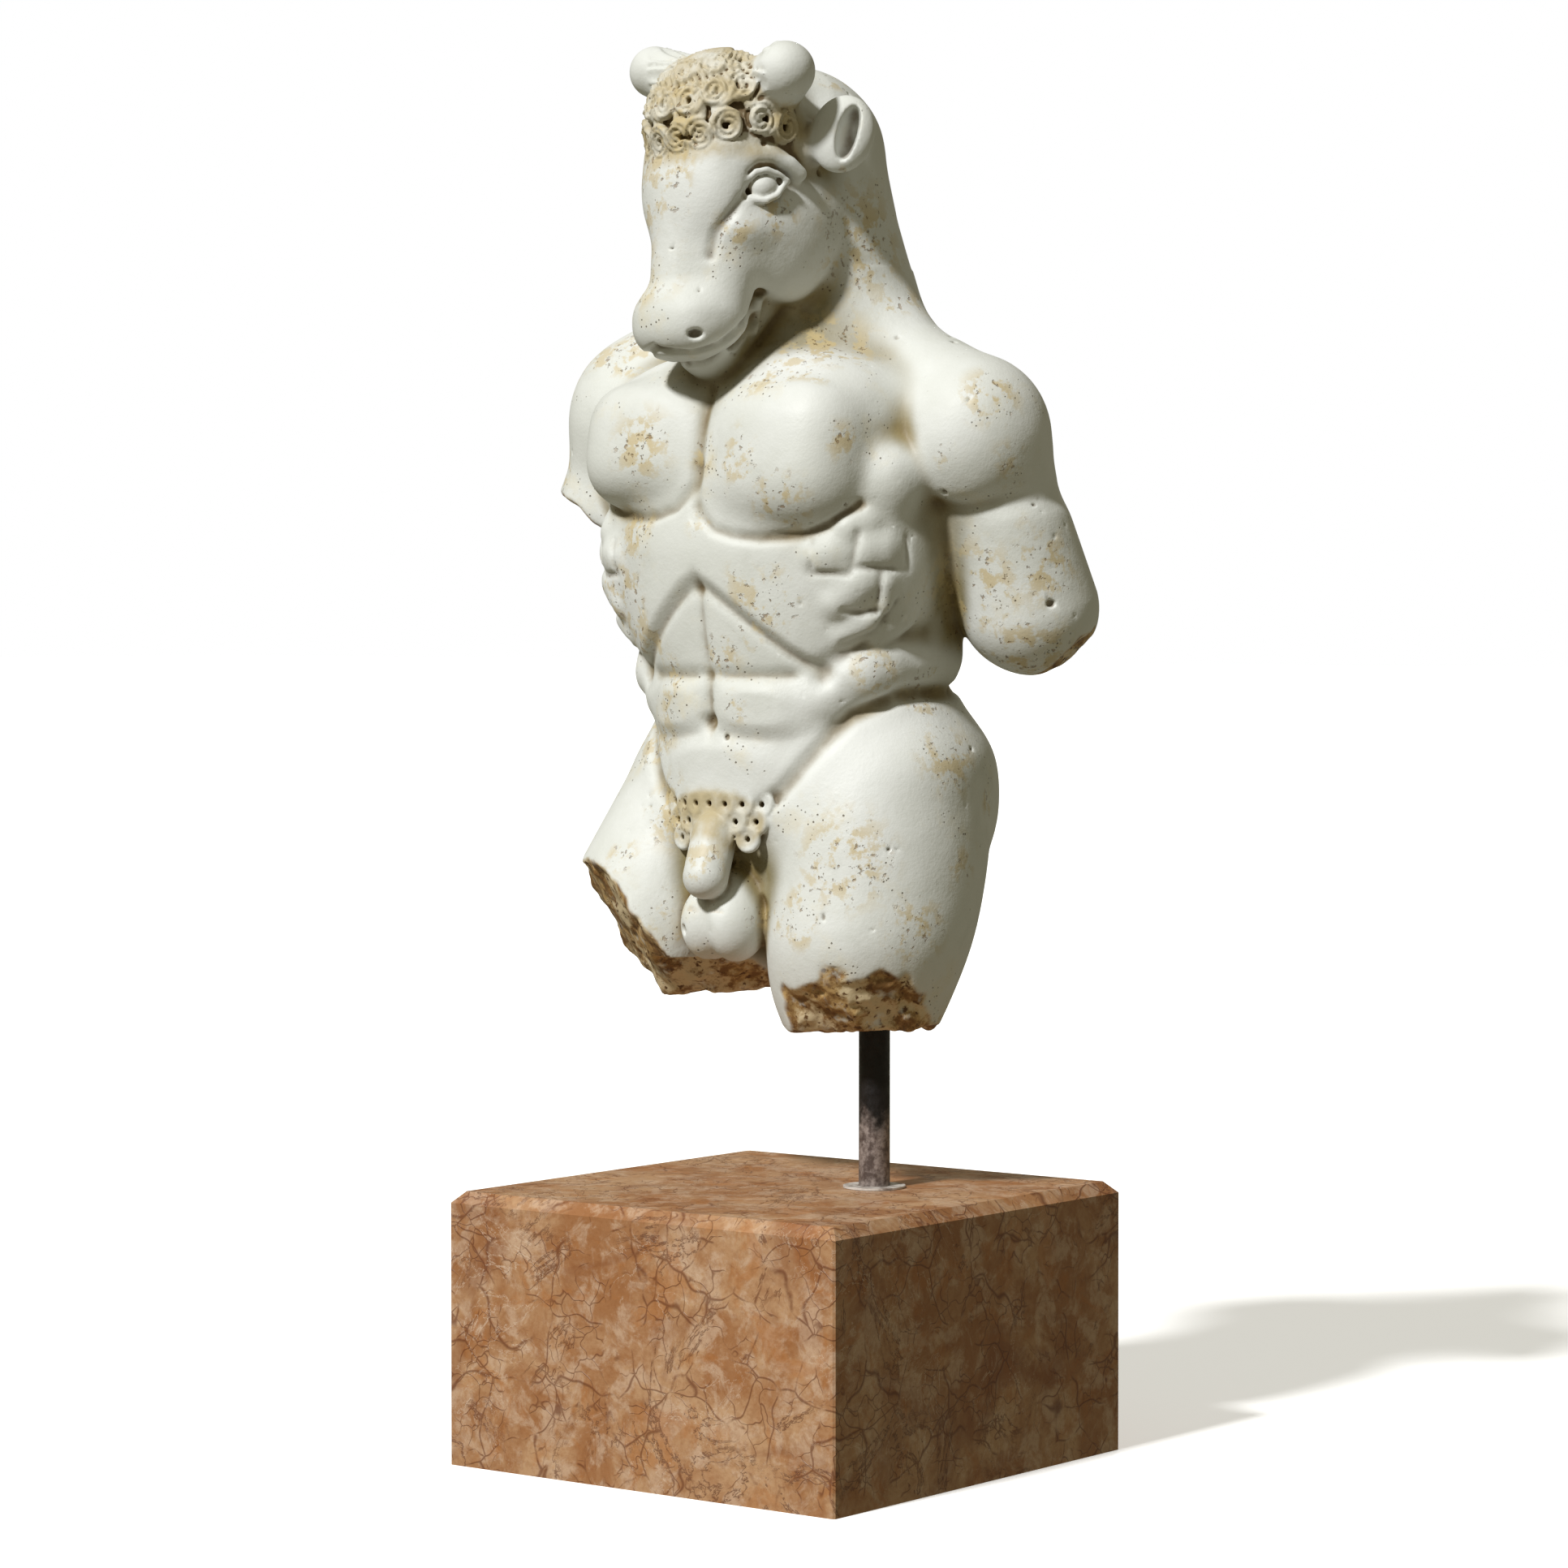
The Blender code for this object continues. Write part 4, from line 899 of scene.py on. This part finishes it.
def box_blur(values, reach):
    """The mean over a cube of cells, by running sums along each axis."""
    for axis in range(3):
        padded = np.pad(values, [(reach + 1, reach) if a == axis else (0, 0) for a in range(3)], "edge")
        sums = np.cumsum(padded, axis=axis, dtype=np.float32)
        count = 2 * reach + 1
        high = np.take(sums, range(count, sums.shape[axis]), axis=axis)
        low = np.take(sums, range(0, sums.shape[axis] - count), axis=axis)
        values = (high - low) / count
    return values


def shelter(clay, points, reach):
    """How much stone lies round each point: 0.5 on a flat face, more in a hollow."""
    thin = 2
    coarse = clay.field[::thin, ::thin, ::thin]
    solid = np.clip(0.5 - coarse / (2 * thin * clay.step), 0, 1)
    cells = max(1, round(reach / (thin * clay.step)))
    blurred = box_blur(box_blur(solid, cells), cells)
    return sampled(blurred, clay.low, thin * clay.step, points)


def place_in_world():
    """The turn and the shift, in metres, from the carving's parts to the frame."""
    turn = turn_about(2, -math.degrees(FIGURE_TURN))
    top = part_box("plinth")[1].z
    hole = turn @ HOLE_IN_FIGURE * PART
    return turn, np.array((POST_X, POST_Y, top + POST_SEEN)) - hole


def statue():
    clay, (points, quads) = carved_figure(CARVING_STEP)
    turn, shift = place_in_world()
    rough = mesh_of("rough_statue", points * PART @ turn.T + shift, quads)
    thin = rough.modifiers.new("facets", "DECIMATE")
    thin.ratio = CARVING_TRIANGLES / (2 * len(quads))
    graph = bpy.context.evaluated_depsgraph_get()
    mesh = bpy.data.meshes.new_from_object(rough.evaluated_get(graph))
    bpy.data.objects.remove(rough)
    mesh.name = "carved_statue"
    world = np.empty(len(mesh.vertices) * 3, np.float32)
    mesh.vertices.foreach_get("co", world)
    places = (world.reshape(-1, 3) - shift) @ turn / PART
    for name, reach, low, high in SHELTERS:
        give(mesh, name, ramp(shelter(clay, places, reach), low, high))
    give(mesh, "worn_and_lit", worn_patches(places))
    give(mesh, "hair", hairy(places))
    give(mesh, "broken", sampled(clay.broken, clay.low, clay.step, places))
    mesh.shade_smooth()
    return object_of("carved_statue", mesh)


def give(mesh, name, values):
    attribute = mesh.attributes.new(name, "FLOAT", "POINT")
    attribute.data.foreach_set("value", np.asarray(values, np.float32))


def object_of(name, data):
    made = bpy.data.objects.new(name, data)
    bpy.context.scene.collection.objects.link(made)
    return made


def mesh_of(name, points, faces):
    mesh = bpy.data.meshes.new(name)
    mesh.from_pydata(points.tolist(), [], faces.tolist())
    return object_of(name, mesh)


def colour_sockets(sockets):
    """The sockets of a mixing node that carry colours."""
    return [socket for socket in sockets if socket.type == "RGBA"]


class Shader:
    """A material's nodes, made and joined by name."""

    def __init__(self, name):
        self.material = bpy.data.materials.new(name)
        self.material.use_nodes = True
        self.tree = self.material.node_tree
        self.surface = self.tree.nodes["Principled BSDF"]
        self.place = self.tree.nodes.new("ShaderNodeTexCoord").outputs["Object"]

    def put(self, socket, value):
        if isinstance(value, bpy.types.NodeSocket):
            self.tree.links.new(value, socket)
        else:
            socket.default_value = (*value, 1.0) if isinstance(value, tuple) and len(value) == 3 else value

    def add(self, kind, inputs):
        """A new node, with values or links put into its inputs by name or number."""
        node = self.tree.nodes.new(kind)
        for name, value in inputs.items():
            self.put(node.inputs[name], value)
        return node

    def noise(self, scale, detail=4.0, rough=0.55, warp=0.0):
        inputs = {"Vector": self.place, "Scale": scale, "Detail": detail, "Roughness": rough}
        return self.add("ShaderNodeTexNoise", {**inputs, "Distortion": warp}).outputs["Fac"]

    def cells(self, scale, at, feature="F1"):
        node = self.add("ShaderNodeTexVoronoi", {"Vector": at, "Scale": scale})
        node.feature = feature
        return node.outputs["Distance"]

    def bent(self, scale, distance):
        """The place, shifted by a noise of its own."""
        shift = self.add("ShaderNodeTexNoise", {"Vector": self.place, "Scale": scale}).outputs["Color"]
        node = self.add("ShaderNodeVectorMath", {0: shift, 1: [distance] * 3})
        node.operation = "MULTIPLY_ADD"
        self.put(node.inputs[2], self.place)
        return node.outputs[0]

    def attribute(self, name):
        node = self.tree.nodes.new("ShaderNodeAttribute")
        node.attribute_name = name
        return node.outputs["Fac"]

    def ramp(self, value, low, high, start=0.0, end=1.0):
        """A smooth step from start at low to end at high."""
        limits = {"From Min": low, "From Max": high, "To Min": start, "To Max": end}
        node = self.add("ShaderNodeMapRange", {"Value": value, **limits})
        node.interpolation_type = "SMOOTHSTEP"
        return node.outputs["Result"]

    def clouds(self, low, high, *noise, least=0.0):
        """Soft patches: 1 where a noise is over high, and the least value where it is under low."""
        return self.ramp(self.noise(*noise), low, high, least)

    def math(self, kind, first, second=0.0):
        node = self.add("ShaderNodeMath", {0: first, 1: second})
        node.operation = kind
        return node.outputs[0]

    def times(self, first, second):
        return self.math("MULTIPLY", first, second)

    def line_where(self, field, middle, width):
        """1 on the lines where a noise field crosses a value, 0 away from them."""
        away = self.math("ABSOLUTE", self.math("SUBTRACT", field, middle))
        return self.ramp(away, 0.0, width, 1.0, 0.0)

    def mix(self, share, first, second):
        node = self.tree.nodes.new("ShaderNodeMix")
        node.data_type = "RGBA"
        self.put(node.inputs["Factor"], share)
        for socket, colour in zip(colour_sockets(node.inputs), (first, second)):
            self.put(socket, colour)
        return colour_sockets(node.outputs)[0]

    def stain(self, colour, where, strength, *levels):
        """A tone of the given levels laid over a colour, as strongly as asked, where a value is high."""
        return self.mix(self.times(where, strength), colour, tone(*levels))

    def bump(self, height, distance, before=None):
        node = self.add("ShaderNodeBump", {"Distance": distance, "Height": height})
        if before:
            self.put(node.inputs["Normal"], before)
        return node.outputs["Normal"]

    def end(self, colour, roughness, normal=None, **numbers):
        """The material, with all of this on its surface."""
        self.put(self.surface.inputs["Base Color"], colour)
        self.put(self.surface.inputs["Roughness"], roughness)
        if normal:
            self.put(self.surface.inputs["Normal"], normal)
        for name, value in numbers.items():
            self.surface.inputs[name].default_value = value
        return self.material


def tone(*levels):
    """A colour from screen levels, 0 to 255."""
    return tuple(((level / 255 + 0.055) / 1.055) ** 2.4 for level in levels)


# How strongly stone mirrors the light
STONE_GLOSS = {"Specular IOR Level": 0.35}


def marble():
    s = Shader("weathered_marble")
    crease, hair, worn_and_lit = s.attribute("crease"), s.attribute("hair"), s.attribute("worn_and_lit")
    colour = s.mix(s.clouds(0.35, 0.65, 8, 5), tone(219, 221, 218), tone(208, 210, 204))
    colour = s.stain(colour, s.clouds(0.50, 0.72, 17, 6, 0.6, 0.8), 0.45, 198, 200, 193)
    # A thin ochre bloom
    colour = s.stain(colour, s.clouds(0.54, 0.76, 24, 6, 0.62), 0.4, 212, 200, 164)
    # Painted shade, dark olive, in the deep places, and dirt with painted shade in the hollows and the
    # creases
    deep = s.times(s.attribute("depth"), s.clouds(0.30, 0.65, 13, 5, least=0.6))
    colour = s.stain(colour, deep, 0.95, 118, 104, 50)
    hollows = s.times(s.attribute("hollow"), s.clouds(0.3, 0.7, 26, 5, least=0.45))
    colour = s.stain(colour, hollows, 0.75, 160, 140, 90)
    creases = s.times(crease, s.clouds(0.3, 0.7, 60, 4, least=0.6))
    colour = s.stain(colour, creases, 0.9, 88, 68, 34)
    # The hair holds more of the dirt than the smooth skin, and its creases get dirt and painted shade
    colour = s.stain(colour, s.times(hair, s.clouds(0.32, 0.62, 38, 5, least=0.35)), 0.82, 174, 156, 110)
    colour = s.stain(colour, s.times(hair, s.ramp(crease, 0.15, 0.6)), 0.85, 92, 70, 36)
    # Ochre patches where the skin of the stone has flaked, with brown specks in them
    colour = s.stain(colour, s.times(worn_and_lit, s.clouds(0.49, 0.58, 62, 6, 0.66)), 0.72, 192, 172, 122)
    brown = s.times(worn_and_lit, s.clouds(0.60, 0.68, 190, 4, 0.6))
    colour = s.stain(colour, brown, 0.7, 140, 108, 64)
    # Dark specks
    speck = s.ramp(s.cells(210, s.bent(30, 0.004)), 0.09, 0.20, 1.0, 0.0)
    speck = s.times(speck, s.clouds(0.53, 0.64, 24, 4))
    colour = s.stain(colour, speck, 0.8, 84, 64, 38)
    # Broken faces
    fracture = s.mix(s.clouds(0.40, 0.58, 60, 6, 0.7), tone(124, 90, 50), tone(184, 152, 100))
    fracture = s.stain(fracture, s.clouds(0.46, 0.56, 30, 6, 0.66), 0.85, 210, 194, 160)
    fracture = s.mix(s.clouds(0.56, 0.66, 170, 5), fracture, tone(96, 66, 34))
    colour = s.mix(s.times(s.attribute("broken"), s.clouds(0.25, 0.45, 70, 5)), colour, fracture)
    grain = s.bump(s.noise(420, 4, 0.6), 0.0002)
    lumps = s.bump(s.noise(70, 4, 0.5), 0.0005, grain)
    pits = s.bump(s.ramp(s.math("MAXIMUM", speck, brown), 0, 1, 1.0, 0.0), 0.0007, lumps)
    roughness = s.ramp(s.noise(18, 4), 0.3, 0.7, 0.48, 0.66)
    return s.end(colour, roughness, pits, **STONE_GLOSS)


def plinth_stone():
    s = Shader("brown_veined_stone")
    colour = s.mix(s.clouds(0.38, 0.62, 13, 6, 0.62, 0.8), tone(152, 104, 66), tone(180, 142, 106))
    # Pale, orange and dark patches, and fine dark mottling
    colour = s.stain(colour, s.clouds(0.46, 0.60, 40, 7, 0.7, 0.5), 0.6, 196, 168, 142)
    colour = s.stain(colour, s.clouds(0.53, 0.63, 21, 6, 0.64, 0.9), 0.5, 164, 104, 52)
    colour = s.stain(colour, s.clouds(0.56, 0.70, 9, 5, 0.6, 1.2), 0.5, 122, 70, 38)
    colour = s.stain(colour, s.clouds(0.44, 0.62, 190, 5, 0.7), 0.28, 132, 82, 44)
    # Veins: the edges of bent cells, broken up, and a line where a noise field crosses a value
    veins = 0.0
    for scale, bend, width, low in ((20, 0.055, 0.026, 0.42), (46, 0.035, 0.034, 0.45)):
        edge = s.cells(scale, s.bent(scale * 0.8, bend), "DISTANCE_TO_EDGE")
        line = s.times(s.ramp(edge, 0.0, width, 1.0, 0.0), s.clouds(low, low + 0.1, 26, 5))
        veins = s.math("MAXIMUM", line, veins)
    wide = s.line_where(s.noise(7.5, 8, 0.68, 1.4), 0.5, 0.012)
    veins = s.math("MAXIMUM", veins, s.times(wide, s.clouds(0.42, 0.56, 15, 4)))
    colour = s.stain(colour, veins, 0.72, 98, 50, 26)
    bright = s.line_where(s.noise(12, 7, 0.62, 2.4), 0.52, 0.006)
    bright = s.times(bright, s.clouds(0.48, 0.60, 10, 3))
    colour = s.stain(colour, bright, 0.6, 214, 192, 170)
    surface = s.bump(veins, 0.0002, s.bump(s.noise(260, 4), 0.0002))
    rough = s.ramp(s.noise(30, 4), 0.3, 0.7, 0.36, 0.52)
    return s.end(colour, rough, surface, **STONE_GLOSS)


# The foot of the post is painted lighter, as painted light on its lit lower end: wholly so below the first
# height over the plinth, and not at all above the second
LIT_BELOW, DARK_ABOVE = 0.018, 0.034


def post_steel():
    s = Shader("dark_steel")
    height = s.add("ShaderNodeSeparateXYZ", {0: s.place}).outputs["Z"]
    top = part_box("plinth")[1].z
    wobble = s.times(s.noise(48, 5, 0.6), 0.05)
    # The share of painted light on the post, full at the foot, with a wavy upper edge
    worn_and_lit = s.ramp(s.math("SUBTRACT", height, wobble), top + LIT_BELOW, top + DARK_ABOVE, 1.0, 0.0)
    patchy = s.clouds(0.36, 0.66, 160, 6, 0.65)
    # The colour of the painted light on the foot
    lit_foot = s.mix(patchy, tone(84, 72, 68), tone(150, 138, 132))
    dark = s.mix(s.clouds(0.4, 0.7, 70, 5), tone(16, 13, 13), tone(32, 27, 26))
    roughness = s.ramp(patchy, 0, 1, 0.40, 0.6)
    return s.end(s.mix(worn_and_lit, dark, lit_foot), roughness, s.bump(s.noise(300, 3), 0.0002), Metallic=0.25)


def ring_metal():
    s = Shader("pale_plate")
    colour = s.mix(s.clouds(0.4, 0.65, 120, 5), tone(196, 190, 184), tone(128, 116, 108))
    return s.end(colour, s.ramp(s.noise(80, 4), 0.3, 0.7, 0.4, 0.6), s.bump(s.noise(200, 3), 0.0002))


WHITE = (1.0, 1.0, 1.0)

# The floor: half its width, and a glow that keeps it white
FLOOR_HALF = 40.0
FLOOR_GLOW = 0.35


def floor():
    corners = np.array([(-1, -1, 0), (1, -1, 0), (1, 1, 0), (-1, 1, 0)]) * FLOOR_HALF
    made = mesh_of("floor", corners, np.array([(0, 1, 2, 3)]))
    glow = {"Specular IOR Level": 0.0, "Emission Strength": FLOOR_GLOW}
    made.data.materials.append(Shader("pale_floor").end(WHITE, 1.0, **glow))
    # The floor throws no light back, so the undersides stay as dark as in the photograph
    made.visible_diffuse = False
    made.visible_glossy = False


# The camera of the photograph, in metres, degrees and, for the lens and the sensor, millimetres
CAMERA_AZIMUTH = 37.66
CAMERA_PITCH = 2.13
CAMERA_PLACE = (2.230, -2.894, 0.644)
CAMERA_LENS = 111.8
SENSOR_WIDTH = 36.0

# The sun lamps: where each shines from, seen from the camera, its strength, and its width in degrees
KEY_SUN = ((-1.3, -1.55, 1.85), 3.75, 6)
BACK_SUN = ((0.3, 2.0, 0.5), 1.3, 10)

# The light from all round: its strength and its yellowish colour
ROUND_LIGHT = 0.22
ROUND_COLOUR = (1.0, 0.93, 0.66)


def camera():
    made = object_of("camera", bpy.data.cameras.new("camera"))
    made.location = CAMERA_PLACE
    made.rotation_euler = (math.radians(90 - CAMERA_PITCH), 0, math.radians(CAMERA_AZIMUTH))
    made.data.lens = CAMERA_LENS
    made.data.sensor_width = SENSOR_WIDTH
    bpy.context.scene.camera = made


def sun(name, place, strength, width):
    """A far lamp that shines towards the origin from a place to the camera's right, away from it and up."""
    light = bpy.data.lights.new(name, "SUN")
    light.energy, light.angle = strength, math.radians(width)
    made = object_of(name, light)
    from_origin = Vector(turn_about(2, CAMERA_AZIMUTH) @ place)
    made.rotation_euler = from_origin.to_track_quat("Z", "Y").to_euler()
    return made


def lights():
    sun("key", *KEY_SUN)
    sun("back", *BACK_SUN).visible_glossy = False
    world = bpy.data.worlds.new("studio")
    world.use_nodes = True
    tree = world.node_tree
    seen = tree.nodes.new("ShaderNodeLightPath").outputs["Is Camera Ray"]
    # White and bright where the world itself is seen, and a dimmer, yellowish light on the statue
    strength = tree.nodes.new("ShaderNodeMapRange")
    strength.inputs["To Min"].default_value = ROUND_LIGHT
    tree.links.new(seen, strength.inputs["Value"])
    tint = tree.nodes.new("ShaderNodeMix")
    tint.data_type = "RGBA"
    for socket, colour in zip(colour_sockets(tint.inputs), (ROUND_COLOUR, WHITE)):
        socket.default_value = (*colour, 1.0)
    tree.links.new(seen, tint.inputs["Factor"])
    background = tree.nodes["Background"]
    tree.links.new(strength.outputs["Result"], background.inputs["Strength"])
    tree.links.new(colour_sockets(tint.outputs)[0], background.inputs["Color"])
    bpy.context.scene.world = world
    bpy.context.scene.view_settings.view_transform = "Standard"


def put_on(obj, material):
    obj.data.materials.clear()
    obj.data.materials.append(material)


def main():
    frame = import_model()
    nodes = frame["nodes"]
    camera()
    lights()
    floor()
    put_on(nodes["plinth"], plinth_stone())
    put_on(nodes["post"], post_steel())
    put_on(nodes["foot_ring"], ring_metal())
    figure = statue()
    put_on(figure, marble())
    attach(figure, "root")
    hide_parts("statue")


main()
